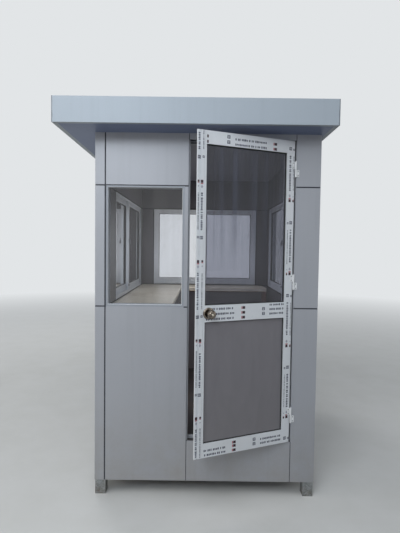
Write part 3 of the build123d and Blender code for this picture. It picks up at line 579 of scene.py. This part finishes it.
# dark brown bead behind the counter: painted shade where the counter meets the walls
COUNTER_PAINTED_SHADE = rubber("counter_painted_shade", srgb(70, 60, 50), 0.2)
WHITE_BEAD = powder_coat("bead_white", srgb(214, 218, 222), 0.38, 0.5)
BLACK_PLASTIC = plain_finish("black_plastic", srgb(28, 28, 31), 0.45)
PRINTS = {name: plain_finish("print_" + name, colour, 0.45) for name, colour in (
    ("blue", srgb(34, 40, 68)),
    ("red", srgb(176, 88, 102)),
    ("dark", srgb(46, 16, 28)),
    ("pale", srgb(128, 124, 146)),
)}
SCREW_STEEL = plain_finish("screw_steel", srgb(150, 152, 156), 0.30, 0.9)
# near-black colour of the screw recesses and the keyhole: painted shade inside these hollows
RECESS_SHADE = plain_finish("recess_shade", srgb(30, 30, 32), 0.7)
BRASS = plain_finish("lock_brass", srgb(222, 214, 198), 0.22, 1.0)
# the counter's edge band is darker than its top: painted shade on the front edge
SHADED_EDGE_BAND = plain_finish("edge_band", srgb(146, 142, 134), 0.4)


# Light, floor and camera

BACKDROP = srgb(226, 229, 231)


def make_floor():
    """Pale floor that runs into the backdrop far out, and throws little light back up."""
    s = Shader("floor_pale")
    seen = s.seen()
    grain = s.noise(3.0, 6.0, 0.6)
    pale = s.mix(s.span(grain, 0.3, 0.7), srgb(204, 204, 201), srgb(210, 210, 208))
    thrown = s.mix(s.span(s.axis("X"), -0.3, 1.0), srgb(176, 170, 158), srgb(30, 26, 24))
    away = s.add("VectorMath", {0: s.place}, operation="LENGTH").outputs["Value"]
    far = s.math("MULTIPLY", seen, s.span(away, 3.0, 13.0))
    near_look = s.principled(Base_Color=s.mix(seen, thrown, pale), Roughness=0.85)
    far_look = s.add("Emission", {"Color": BACKDROP, "Strength": 1.0}).outputs[0]
    bm = bmesh.new()
    reach, thickness = 30.0, 0.05
    add_box(bm, (-reach, -reach, -thickness), (reach, reach, 0.0))
    floor = mesh_object("floor", bm, s.out(s.blend(far, near_look, far_look)))


def make_world():
    """Overcast sky for the light; camera, mirrors and panes see a plain pale backdrop."""
    s = Shader("overcast", bpy.data.worlds)
    light = s.add("Background", {"Color": (0.84, 0.92, 1.0, 1.0), "Strength": 0.28}).outputs[0]
    backdrop = s.add("Background", {"Color": BACKDROP, "Strength": 1.0}).outputs[0]
    bpy.context.scene.world = s.out(s.blend(s.seen(), light, backdrop), "OutputWorld")


def add_lamp(name, place, aim, size, power, colour=(1.0, 1.0, 1.0), mirrored=True):
    """A soft disk lamp, never seen itself; one that isn't mirrored shows on no glossy face either."""
    data = bpy.data.lights.new(name, "AREA")
    data.shape = "DISK"
    data.size = size
    data.energy = power
    data.color = colour
    lamp = add_object(name, data)
    lamp.location = place
    lamp.rotation_euler = (Vector(aim) - Vector(place)).to_track_quat("-Z", "Y").to_euler()
    lamp.visible_camera = lamp.visible_transmission = False
    lamp.visible_glossy = mirrored


def make_camera():
    """Camera of the photograph, from its fitted place, direction, roll and focal length."""
    place = Vector((-0.0419, -3.7983, 1.6974))
    yaw, pitch, roll = -0.0013, 0.0442, 0.0129
    ahead = Vector((math.sin(yaw) * math.cos(pitch), math.cos(yaw) * math.cos(pitch), -math.sin(pitch)))
    right = Vector((math.cos(yaw), -math.sin(yaw), 0.0))
    up = right.cross(ahead)
    rolled_right = right * math.cos(roll) + up * math.sin(roll)
    rolled_up = up * math.cos(roll) - right * math.sin(roll)
    data = bpy.data.cameras.new("camera")
    data.sensor_width = 36.0
    data.lens = 29.04
    data.clip_end = 200.0
    camera = add_object("camera", data)
    turn = Matrix((rolled_right, rolled_up, -ahead)).transposed().to_4x4()
    camera.matrix_world = moved(place) @ turn
    bpy.context.scene.camera = camera


make_floor()
make_world()
make_camera()
add_lamp("sky_above", (-0.5, -4.5, 8.0), (0.0, -0.6, 1.3), 5.0, 116.0, (0.92, 0.96, 1.0))
add_lamp("sky_front", (-1.3, -5.6, 3.7), (-0.2, -0.9, 1.7), 1.5, 44.0, (0.86, 0.93, 1.0))
add_lamp("sky_near", (-1.7, -4.3, 4.0), (-0.2, -0.9, 2.0), 2.0, 40.0, (0.92, 0.96, 1.0))
add_lamp("sky_low", (-3.2, -4.6, 1.1), (-0.6, -0.9, 0.9), 2.0, 18.0, (1.0, 0.98, 0.98), False)
add_lamp("sky_left", (-6.5, -2.5, 3.0), (-0.5, -0.9, 1.3), 3.0, 95.0, (1.0, 0.96, 0.90))
add_lamp("sky_right", (5.5, -1.5, 3.2), (0.0, 0.0, 1.5), 4.0, 52.0, (1.0, 0.98, 0.97))
add_lamp("sky_back", (-3.5, 4.5, 5.0), (0.0, 0.6, 1.2), 4.0, 110.0)
add_lamp("room_fill", (0.15, -0.1, 2.36), (0.1, 0.1, 0.4), 0.5, 4.3, (1.0, 0.97, 0.98), False)
add_lamp("room_fill_low", (0.35, -0.4, 0.95), (-0.3, 0.6, 0.8), 0.4, 6.2, (1.0, 0.97, 0.98), False)


# Door film print: rows of plain dashes and squares along each member

lock_low, lock_high = box_of("door_lock_stile", SHUT)
hinge_low, hinge_high = box_of("door_hinge_stile", SHUT)
glass_low, glass_high = box_of("door_glass", SHUT)
panel_low, panel_high = box_of("door_lower_panel", SHUT)
FACE_Y = lock_low.y
SEAT_DEPTH = lock_high.x - glass_low.x
RAIL_LEFT = lock_high.x
RAIL_RIGHT = hinge_low.x
LEAF_BOTTOM = lock_low.z
LEAF_TOP = lock_high.z
MIDDLE_RAIL_TOP = glass_low.z + SEAT_DEPTH
BOTTOM_RAIL_TOP = panel_low.z + SEAT_DEPTH

PRINT_REPEAT = 0.485         # length after which the film's marks repeat
SIGN_AT, GLYPH_AT = 0.148, 0.456
DASHES_AT = (0.194, 0.417)   # start and end; these places are measured from a pair of squares
PRINT_THICKNESS = 0.1 * MM
MARK_HEIGHT = 12.5 * MM      # height of a large dash
DASH_LENGTHS, DASH_HEIGHTS, DASH_GAPS = (0.5, 0.6, 0.6, 0.7), (0.85, 1.05, 1.05), (0.28, 0.28, 0.28, 0.8)

# Levels of a face as (from, to, depth) across a row. The lock stile has a lip, a groove and a fine line.
FLAT = ((-1.0, 1.0, 0.0),)
LIP, GROOVE_END, FINE_LINE, GROOVE_DEPTH = 17 * MM, 25 * MM, 49 * MM, 4 * MM
LOCK_LEVELS = ((-LIP, 0.0, 0.0), (-GROOVE_END, -LIP, GROOVE_DEPTH), (-FINE_LINE, -GROOVE_END, 0.0))


class Row:
    """A line of marks on the leaf, from an origin on its face. place is how far across it lies."""

    def __init__(self, origin, direction, length, height, place=0.0, levels=FLAT):
        self.length = length
        self.height = height
        self.place = place
        self.levels = levels
        side = Vector((0, -1, 0)).cross(direction)
        axes = Matrix((direction, (0, 1, 0), side)).transposed().to_4x4()
        self.matrix = OPENED @ moved(origin) @ axes


class FilmPrint:
    """Marks of the film, gathered by colour."""

    def __init__(self):
        self.meshes = {colour: bmesh.new() for colour in PRINTS}

    def mark(self, colour, row, along, across, length, height):
        """A block with its middle along and across a row, parted where the face has a step."""
        for low, high, depth in row.levels:
            low = max(low, row.place + across - height / 2)
            high = min(high, row.place + across + height / 2)
            if high - low > 2 * PRINT_THICKNESS:
                add_box(self.meshes[colour], (along - length / 2, depth - PRINT_THICKNESS, low),
                        (along + length / 2, depth, high), row.matrix)

    def repeat(self, rows, first, rng):
        """Squares, blank, a sign, dashes and a pale glyph, again and again.

        first is where squares stand on the first of two rows. Behind each pair of squares the marks
        change over to the other row.
        """
        row, other = rows
        repeats = math.ceil(first / PRINT_REPEAT + 1)
        start = first - repeats * PRINT_REPEAT
        if repeats % 2:
            row, other = other, row
        while start < row.length:
            self.squares(row, start)
            row, other = other, row
            self.sign(row, start + SIGN_AT)
            self.dashes(row, start, rng)
            self.glyph(row, start + GLYPH_AT)
            start += PRINT_REPEAT

    def squares(self, row, along):
        """A dark square with a narrower red one before it, cut off at the row's ends."""
        size = 0.9 * row.height + 6 * MM
        margin = 1 * MM
        for colour, offset, width in (("red", -0.66, 0.35), ("dark", 0.15, 1.1)):
            low = max(along + (offset - width / 2) * size, margin)
            high = min(along + (offset + width / 2) * size, row.length - margin)
            if high - low > 2 * margin:
                self.mark(colour, row, (low + high) / 2, 0.0, high - low, size)

    def sign(self, row, along):
        """A small hollow square with a bar across it."""
        size = 0.8 * row.height + 6 * MM
        line = 0.26 * row.height + 1 * MM
        if not size < along < row.length - size:
            return
        for offset in (-size / 2, size / 2):
            self.mark("blue", row, along + offset, 0.0, line, size + line)
            self.mark("blue", row, along, offset, size - line, line)
        self.mark("blue", row, along, 0.0, size - line, line)

    def glyph(self, row, along):
        """Three pale upright bars, the middle one longer."""
        height = row.height
        if not height < along < row.length - height:
            return
        for offset in (-0.5, 0.0, 0.5):
            self.mark("pale", row, along + offset * height, 0.0, 0.32 * height, (1.2 - abs(offset)) * height)

    def dashes(self, row, start, rng):
        """Dashes like words behind the squares at start, kept off the row's ends."""
        height = row.height
        margin = 0.3 * height
        along = start + DASHES_AT[0]
        while along < start + DASHES_AT[1]:
            step = rng.choice(DASH_LENGTHS) * height
            if margin < along and along + step < row.length - margin:
                self.mark("blue", row, along + step / 2, rng.uniform(-0.04, 0.04) * height,
                          step, rng.choice(DASH_HEIGHTS) * height)
            along += step + rng.choice(DASH_GAPS) * height

    def finish(self):
        for colour, material in PRINTS.items():
            finish_mesh("film_print_" + colour, self.meshes[colour], material, body="door")


def print_film():
    """Rows up the lock stile, down the hinge stile and along the rails, where the photo has them."""
    rng = random.Random(41)
    film = FilmPrint()
    up, down, right = Vector((0, 0, 1)), Vector((0, 0, -1)), Vector((1, 0, 0))
    full = LEAF_TOP - LEAF_BOTTOM
    # each stile's small and large marks: level of a pair of squares, size, and places across the stile
    start = Vector((lock_low.x, FACE_Y, LEAF_BOTTOM))
    for level, size, places in ((1.612, 0.5, (-41 * MM, -10 * MM)), (1.609, 0.95, (-14 * MM, -33 * MM))):
        rows = [Row(start, up, full, size * MARK_HEIGHT, place, LOCK_LEVELS) for place in places]
        film.repeat(rows, level - LEAF_BOTTOM, rng)
    start = Vector((RAIL_RIGHT, FACE_Y, LEAF_TOP))
    for level, size, places in ((1.532, 1.0, (36 * MM, 24 * MM)), (1.528, 0.42, (13 * MM, 51 * MM))):
        rows = [Row(start, down, full, size * MARK_HEIGHT, place) for place in places]
        film.repeat(rows, LEAF_TOP - level, rng)
    # each rail: its top, where its first squares stand, and the millimetres from its top down to the
    # dashes before them, the squares, the signs and the dashes behind them
    rails = ((LEAF_TOP, -0.062, (), (35, 67), (25, 57), (35, 67)),
             (MIDDLE_RAIL_TOP, 0.209, (24, 55, 86), (23, 54, 85), (37, 68), (13, 42, 71)),
             (BOTTOM_RAIL_TOP, 0.157, (45, 73), (22, 45, 73), (28, 58), (35, 62)))

    def rail_row(top, below):
        start = Vector((RAIL_LEFT, FACE_Y, top - below * MM))
        return Row(start, right, RAIL_RIGHT - RAIL_LEFT, MARK_HEIGHT)

    for top, first, before, squares, signs, behind in rails:
        along = first - RAIL_LEFT
        for below in squares:
            film.squares(rail_row(top, below), along)
            film.squares(rail_row(top, below), along + PRINT_REPEAT)
        for below in signs:
            film.sign(rail_row(top, below), along + SIGN_AT)
        for below in before:
            film.dashes(rail_row(top, below), along - PRINT_REPEAT, rng)
        for below in behind:
            film.dashes(rail_row(top, below), along, rng)
    film.finish()


print_film()


# Left window: the photograph shows its rear sash on the room side, so its two sashes swap tracks.
# Front window: the photograph shows a slimmer frame than the solids have, so it is made anew.

left_low, left_high = box_of("left_window_frame")
SWAP = moved((0, left_low.y + left_high.y, 0)) @ Matrix.Diagonal((1, -1, 1, 1))
front_low, front_high = box_of("front_window_frame")
FRONT_MIDDLE = (front_low + front_high) / 2
CAD_FACE = 20 * MM           # width of the front frame's face in the solids
SLIMMER = 8 * MM             # how much narrower it is shown, and how far its pane grows


def in_left_window(point):
    """Whether a point of the panes or sashes lies in the left window."""
    return point.x < left_high.x


def in_front_window(point):
    """Whether a point of the panes lies in the front window."""
    return point.y < front_high.y


def as_shown(node_name, new_name, material_slot):
    """A copy of a node with the left window mirrored along its wall and the front pane grown."""
    bm = bmesh.new()
    bm.from_mesh(NODES[node_name].data)
    bmesh.ops.remove_doubles(bm, verts=bm.verts, dist=1e-6)
    for vert in bm.verts:
        if in_left_window(vert.co):
            vert.co = SWAP @ vert.co
        elif in_front_window(vert.co):
            vert.co.x += math.copysign(SLIMMER, vert.co.x - FRONT_MIDDLE.x)
            vert.co.z += math.copysign(SLIMMER, vert.co.z - FRONT_MIDDLE.z)
    piece = finish_mesh(new_name, bm, LOOKS[material_slot], 30)
    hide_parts(node_name)


def pane_boxes():
    """Boxes of all fixed and sliding panes as shown."""
    boxes = []
    for low, high in solid_boxes("window_glass"):
        if in_left_window(high):
            low, high = SWAP @ low, SWAP @ high
            low.y, high.y = high.y, low.y
        elif in_front_window(high):
            grown = Vector((SLIMMER, 0, SLIMMER))
            low, high = low - grown, high + grown
        boxes.append((low, high))
    return boxes


def slim_front_frame():
    """The front window's frame as narrow as the photograph shows it, with a joint above it."""
    face = CAD_FACE - SLIMMER
    seat = face - SEAT_DEPTH
    front, back = -front_low.y, -front_high.y
    pane_low, pane_high = next(box for box in pane_boxes() if in_front_window(box[1]))
    pane_front, pane_back = -pane_low.y, -pane_high.y
    edge, step, joint, bead = 0.8 * MM, 3 * MM, 2 * MM, 10 * MM
    bead_back = pane_back - bead
    section = [(0, front), (face - edge, front), (face, front - edge),
               (face, pane_front), (seat, pane_front), (seat, pane_back), (face, pane_back),
               (face, bead_back), (face - step, bead_back), (face - step, back + step),
               (face, back + step), (face, back), (0, back)]
    bm = bmesh.new()
    add_loop(bm, section, (front_low.x, front_low.z), (front_high.x, front_high.z - joint), STILL)
    piece = finish_mesh("front_window_slim_frame", bm, FRONT_FRAME, 30)
    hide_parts("front_window_frame")


slim_front_frame()
as_shown("left_window_sashes", "left_window_sash_pair", "window_aluminium")
as_shown("window_glass", "window_panes", "clear_glass")


# Seals round panes and in the door frame

def wedge(width, rise):
    """Section of a glazing seal: high against the frame, low on the pane."""
    return [(0, 0), (0, rise), (0.35 * width, rise), (0.7 * width, 0.55 * rise),
            (width, 0.2 * rise), (width, 0)]


DOOR_SEAL = wedge(6 * MM, 6 * MM)
SASH_SEAL = wedge(5 * MM, 8.8 * MM)
FIXED_BEAD = wedge(4 * MM, 9.4 * MM)


def seal_pane(bm, section, low, high, leaf=STILL):
    """Run a section round both faces of a pane, where the pane leaves its frame."""
    size = high - low
    turn = STILL if size.x > size.y else turned(90)
    half = max(size.x, size.y) / 2 - SEAT_DEPTH
    half_z = size.z / 2 - SEAT_DEPTH
    depth = min(size.x, size.y) / 2
    for facing in (0, 180):
        matrix = leaf @ moved((low + high) / 2) @ turn @ turned(facing) @ moved((0, -depth, 0))
        add_loop(bm, section, (-half, -half_z), (half, half_z), matrix)


def pane_seals():
    """A seal or bead where each pane meets its frame, on both faces."""
    door, dark, white = bmesh.new(), bmesh.new(), bmesh.new()
    seal_pane(door, DOOR_SEAL, glass_low, glass_high, OPENED)
    seal_pane(door, DOOR_SEAL, panel_low, panel_high, OPENED)
    for low, high in pane_boxes():
        if in_front_window(high):
            seal_pane(white, FIXED_BEAD, low, high)
        else:
            seal_pane(dark, SASH_SEAL, low, high)
    finish_mesh("door_pane_seals", door, BLACK_RUBBER, 40, "door")
    finish_mesh("window_pane_seals", dark, BLACK_RUBBER, 40)
    finish_mesh("front_glazing_beads", white, WHITE_BEAD, 40)


def door_seals():
    """Rubber seals standing in the grooves of the hinge jamb and the head."""
    bm = bmesh.new()
    width, rise, foot, root, gap = 9 * MM, 3.5 * MM, 5 * MM, 3.5 * MM, 1 * MM
    near, far = (width - foot) / 2, (width + foot) / 2
    section = [(near, 0), (near, -root), (far, -root), (far, 0), *reversed(half_round(width, rise, 8))]
    head_low, head_high = box_of("door_head")
    jamb_low, jamb_high = solid_boxes("door_jambs")[1]
    left = (head_high.x + hinge_high.x) / 2 - width / 2
    add_strip(bm, section, jamb_low.z + gap, jamb_high.z - gap, moved((left, head_low.y, 0)))
    top = (head_low.z + lock_high.z) / 2 + width / 2
    along = moved((0, head_low.y, top)) @ turned(90, "Y")
    add_strip(bm, section, head_low.x + gap, head_high.x - gap, along)
    finish_mesh("door_frame_seals", bm, BLACK_RUBBER, 40)


def add_cap(bm, width, length, height, matrix):
    """A small cover, bevelled all round, lying on the matrix's XZ plane and facing -Y."""
    edge = min(0.4 * height, 0.2 * width)
    rings = []
    for inset, forwards in ((0.0, 0.0), (0.0, height - edge), (edge, height)):
        x, z = width / 2 - inset, length / 2 - inset
        corner = min(x, z) * 0.35
        outline = [(-x + corner, -z), (x - corner, -z), (x, -z + corner), (x, z - corner),
                   (x - corner, z), (-x + corner, z), (-x, z - corner), (-x, -z + corner)]
        rings.append([bm.verts.new(matrix @ Vector((a, -forwards, b))) for a, b in outline])
    for near, far in zip(rings, rings[1:]):
        bridge(bm, near, far)
    bm.faces.new(list(reversed(rings[0])))
    bm.faces.new(rings[-1])


# A wall's own frame, before its turn about Z: X runs along the wall and -Y points outwards

SLIDING = {"left": -90, "right": 90, "back": 180}
FRONT = {"front": 0}


def walls(angles):
    """Each wall's name, its turn, and its window frame's corners in the wall's own frame."""
    for name, angle in angles.items():
        turn = turned(angle)
        yield name, turn, *box_of(name + "_window_frame", turn.inverted())


def facing_room(turn, x, y, z):
    """A place on the room side of a wall, looking into the room: there the wall's own X runs back."""
    return turn @ moved((x, y, z)) @ turned(180)


def window_details():
    """Covers of the drain slots outside, and guide blocks at the foot of the inner meeting stiles."""
    drains, guides = bmesh.new(), bmesh.new()
    drain, drain_level = (32 * MM, 9 * MM, 3 * MM), 9 * MM
    guide, guide_level = (13 * MM, 16 * MM, 5 * MM), 57 * MM
    for name, turn, low, high in walls(SLIDING):
        for share in (0.2, 0.8):
            x = low.x + share * (high.x - low.x)
            add_cap(drains, *drain, turn @ moved((x, low.y, low.z + drain_level)))
        sashes = solid_boxes(name + "_window_sashes", turn.inverted())
        room_face = max(box[1].y for box in sashes)
        add_cap(guides, *guide, facing_room(turn, (low.x + high.x) / 2, room_face, low.z + guide_level))
    finish_mesh("window_drain_covers", drains, BLACK_PLASTIC)
    finish_mesh("sash_guide_blocks", guides, BLACK_PLASTIC)


def room_sealant():
    """Beads in the room: round each window, and along the joints of the lining beside it."""
    bm = bmesh.new()
    width, rise, sunk = 11 * MM, 1.8 * MM, 0.2 * MM
    outside = width - 4 * MM     # how far a bead reaches beyond the window's frame
    corner = 4.5 * MM            # from the wall's end to the end of a bead
    on_stud = 24 * MM            # how far the front wall's beads run over the stud of the doorway
    section = half_round(width, rise)
    for name, turn, low, high in walls({**SLIDING, **FRONT}):
        wall_low, wall_high = box_of(name + "_lining", turn.inverted())
        facing = facing_room(turn, 0, high.y - sunk, 0)
        corners = (-high.x - outside, low.z - outside), (-low.x + outside, high.z + outside)
        add_loop(bm, section, *corners, facing)
        ends = [low.x - outside, wall_high.x - corner]
        if name in FRONT:
            # this window stands in the wall's corner, so the left beads run on under its own bead
            ends = [box_of("door_studs")[0].x + on_stud] * 2
        for start, end in zip((wall_low.x + corner, high.x + outside), ends):
            for z in (low.z, high.z):
                lie = moved((0, 0, z + width / 2)) @ turned(90, "Y")
                add_strip(bm, section, -end, -start, facing @ lie)
    finish_mesh("room_sealant_beads", bm, SEALANT, 40)


def counter_painted_shade():
    """Dark brown bead along the walls behind both runs of the counter: painted shade where the top meets the
    walls.
    """
    bm = bmesh.new()
    leg, gap = 11 * MM, 1 * MM
    section = [(0, 0), (0, leg), (0.3 * leg, 0.85 * leg), (0.85 * leg, 0.3 * leg), (leg, 0)]
    low, high = box_of("counter_left")
    rest = moved((low.x, 0, high.z)) @ turned(-90, "X")
    add_strip(bm, [(across, -forwards) for across, forwards in section], low.y + gap, high.y - gap, rest)
    back_high = box_of("counter_back")[1]
    rest = moved((0, back_high.y, back_high.z)) @ turned(90, "Y") @ turned(180)
    add_strip(bm, section, low.x + leg, back_high.x - gap, rest)
    finish_mesh("counter_painted_shade_beads", bm, COUNTER_PAINTED_SHADE, 40)


def counter_edge_bands():
    """Band on the front edge of both runs of the counter, between the rounded corners, coloured darker than the
    top as painted shade.
    """
    bm = bmesh.new()
    rounding, thickness, chamfer = 5 * MM, 0.6 * MM, 0.3 * MM
    low, high = box_of("counter_left")
    back_low, back_high = box_of("counter_back")
    half = (high.z - low.z) / 2 - rounding
    section = [(-half, 0), (-half, chamfer), (chamfer - half, thickness),
               (half - chamfer, thickness), (half, chamfer), (half, 0)]
    middle = (low.z + high.z) / 2
    lie = turned(90, "Y")
    place = moved((high.x, 0, middle)) @ turned(90) @ lie
    add_strip(bm, section, low.y, back_low.y - thickness, place)
    place = moved((0, back_low.y, middle)) @ lie
    add_strip(bm, section, back_low.x + thickness, back_high.x, place)
    finish_mesh("counter_edge_bands", bm, SHADED_EDGE_BAND)


pane_seals()
door_seals()
window_details()
room_sealant()
counter_painted_shade()
counter_edge_bands()


# Screws

def add_screw(heads, slots, place, outwards, radius, rise, turn):
    """A domed head with a cross recess, standing on a surface; the recess is two dark bars set into the head top,
    as painted shade.
    """
    dome = [(0, 0), (radius, 0), (radius, 0.25 * rise), (0.86 * radius, 0.62 * rise),
            (0.6 * radius, 0.88 * rise), (0.3 * radius, rise), (0, rise)]
    matrix = moved(place) @ Vector(outwards).to_track_quat("Z", "X").to_matrix().to_4x4()
    add_turned(heads, dome, matrix, 16)
    arm, line, depth = 0.5 * radius, 0.11 * radius, 0.1 * rise
    for angle in (turn, turn + math.pi / 2):
        cross = matrix @ Matrix.Rotation(angle, 4, "Z")
        add_box(slots, (-arm, -line, 0.86 * rise), (arm, line, rise + depth), cross)


def hinge_screws():
    """Two screws in every plate of the hinges, on the jamb and on the leaf."""
    rng = random.Random(7)
    radius, rise = 3.6 * MM, 1.6 * MM
    off_edge, plate, half_pitch = 8 * MM, 3 * MM, 14 * MM
    above_foot = 26 * MM         # middle of the jamb's screws above the foot of their plate
    for node_name, body, side in (("hinge_frame_leaves", "booth", 1), ("hinge_door_leaves", "door", -1)):
        heads, slots = bmesh.new(), bmesh.new()
        matrix, back = (STILL, STILL) if body == "booth" else (SHUT, OPENED)
        outwards = back.to_3x3() @ Vector((0, -1, 0))
        for low, high in solid_boxes(node_name, matrix):
            x = high.x - off_edge if side > 0 else low.x + off_edge
            middle = low.z + above_foot if side > 0 else (low.z + high.z) / 2
            for dz in (-half_pitch, half_pitch):
                place = back @ Vector((x, high.y - plate, middle + dz))
                add_screw(heads, slots, place, outwards, radius, rise, rng.uniform(0, math.pi))
        finish_mesh(node_name + "_screws", heads, SCREW_STEEL, 35, body)
        finish_mesh(node_name + "_screw_recesses", slots, RECESS_SHADE, body=body)


def knob_details():
    """Lock plug with its keyhole outside, and a plug with a turn piece inside; the keyhole is a dark slot set into
    the plug, as painted shade.
    """
    low, high = box_of("door_knobs", SHUT)
    x, z = (low.x + high.x) / 2, (low.z + high.z) / 2
    sunk = 1.5 * MM
    radius, inner, side, rise = 6.4 * MM, 5.8 * MM, 0.7 * MM, 1.2 * MM
    plug = [(0, 0), (radius, 0), (radius, side), (inner, rise), (0, rise)]
    slot_low, slot_high = (-0.6 * MM, -3.6 * MM, 0.9 * MM), (0.6 * MM, 3.6 * MM, 1.35 * MM)
    turn_piece = (3 * MM, 10 * MM, 1.4 * MM)
    brass, dark = bmesh.new(), bmesh.new()
    for y, angle in ((low.y + sunk, 90), (high.y - sunk, -90)):
        face = OPENED @ moved((x, y, z)) @ turned(angle, "X")
        add_turned(brass, plug, face)
        if angle > 0:
            add_box(dark, slot_low, slot_high, face)
        else:
            add_cap(brass, *turn_piece, face @ turned(90, "X"))
    finish_mesh("knob_plugs", brass, BRASS, 35, "knobs")
    finish_mesh("knob_keyhole", dark, RECESS_SHADE, body="knobs")


def roof_screws():
    """Screws with washers on the crests of the roof sheet, over every beam."""
    rng = random.Random(23)
    washer, washer_rim, washer_rise = 8 * MM, 7.4 * MM, 1.4 * MM
    head, head_rise, off_end = 5 * MM, 3 * MM, 20 * MM
    heads, slots, washers = bmesh.new(), bmesh.new(), bmesh.new()
    deck_low, deck_high = box_of("roof_deck")
    top = deck_high.z
    crests = sorted({round(v.co.x, 3) for v in NODES["roof_deck"].data.vertices if v.co.z > top - 0.1 * MM})
    profile = [(0, 0), (washer, 0), (washer_rim, washer_rise), (0, washer_rise)]
    for beam_low, beam_high in solid_boxes("roof_beams"):
        y = (beam_low.y + beam_high.y) / 2
        y = min(max(y, deck_low.y + off_end), deck_high.y - off_end)
        for left, right in zip(crests[::2], crests[1::2]):
            place = Vector(((left + right) / 2, y, top))
            add_turned(washers, profile, moved(place), 16)
            place.z += washer_rise
            add_screw(heads, slots, place, (0, 0, 1), head, head_rise, rng.uniform(0, 3))
    finish_mesh("roof_washers", washers, BLACK_RUBBER, 35)
    finish_mesh("roof_screw_heads", heads, SCREW_STEEL, 35)
    finish_mesh("roof_screw_recesses", slots, RECESS_SHADE)


hinge_screws()
knob_details()
roof_screws()
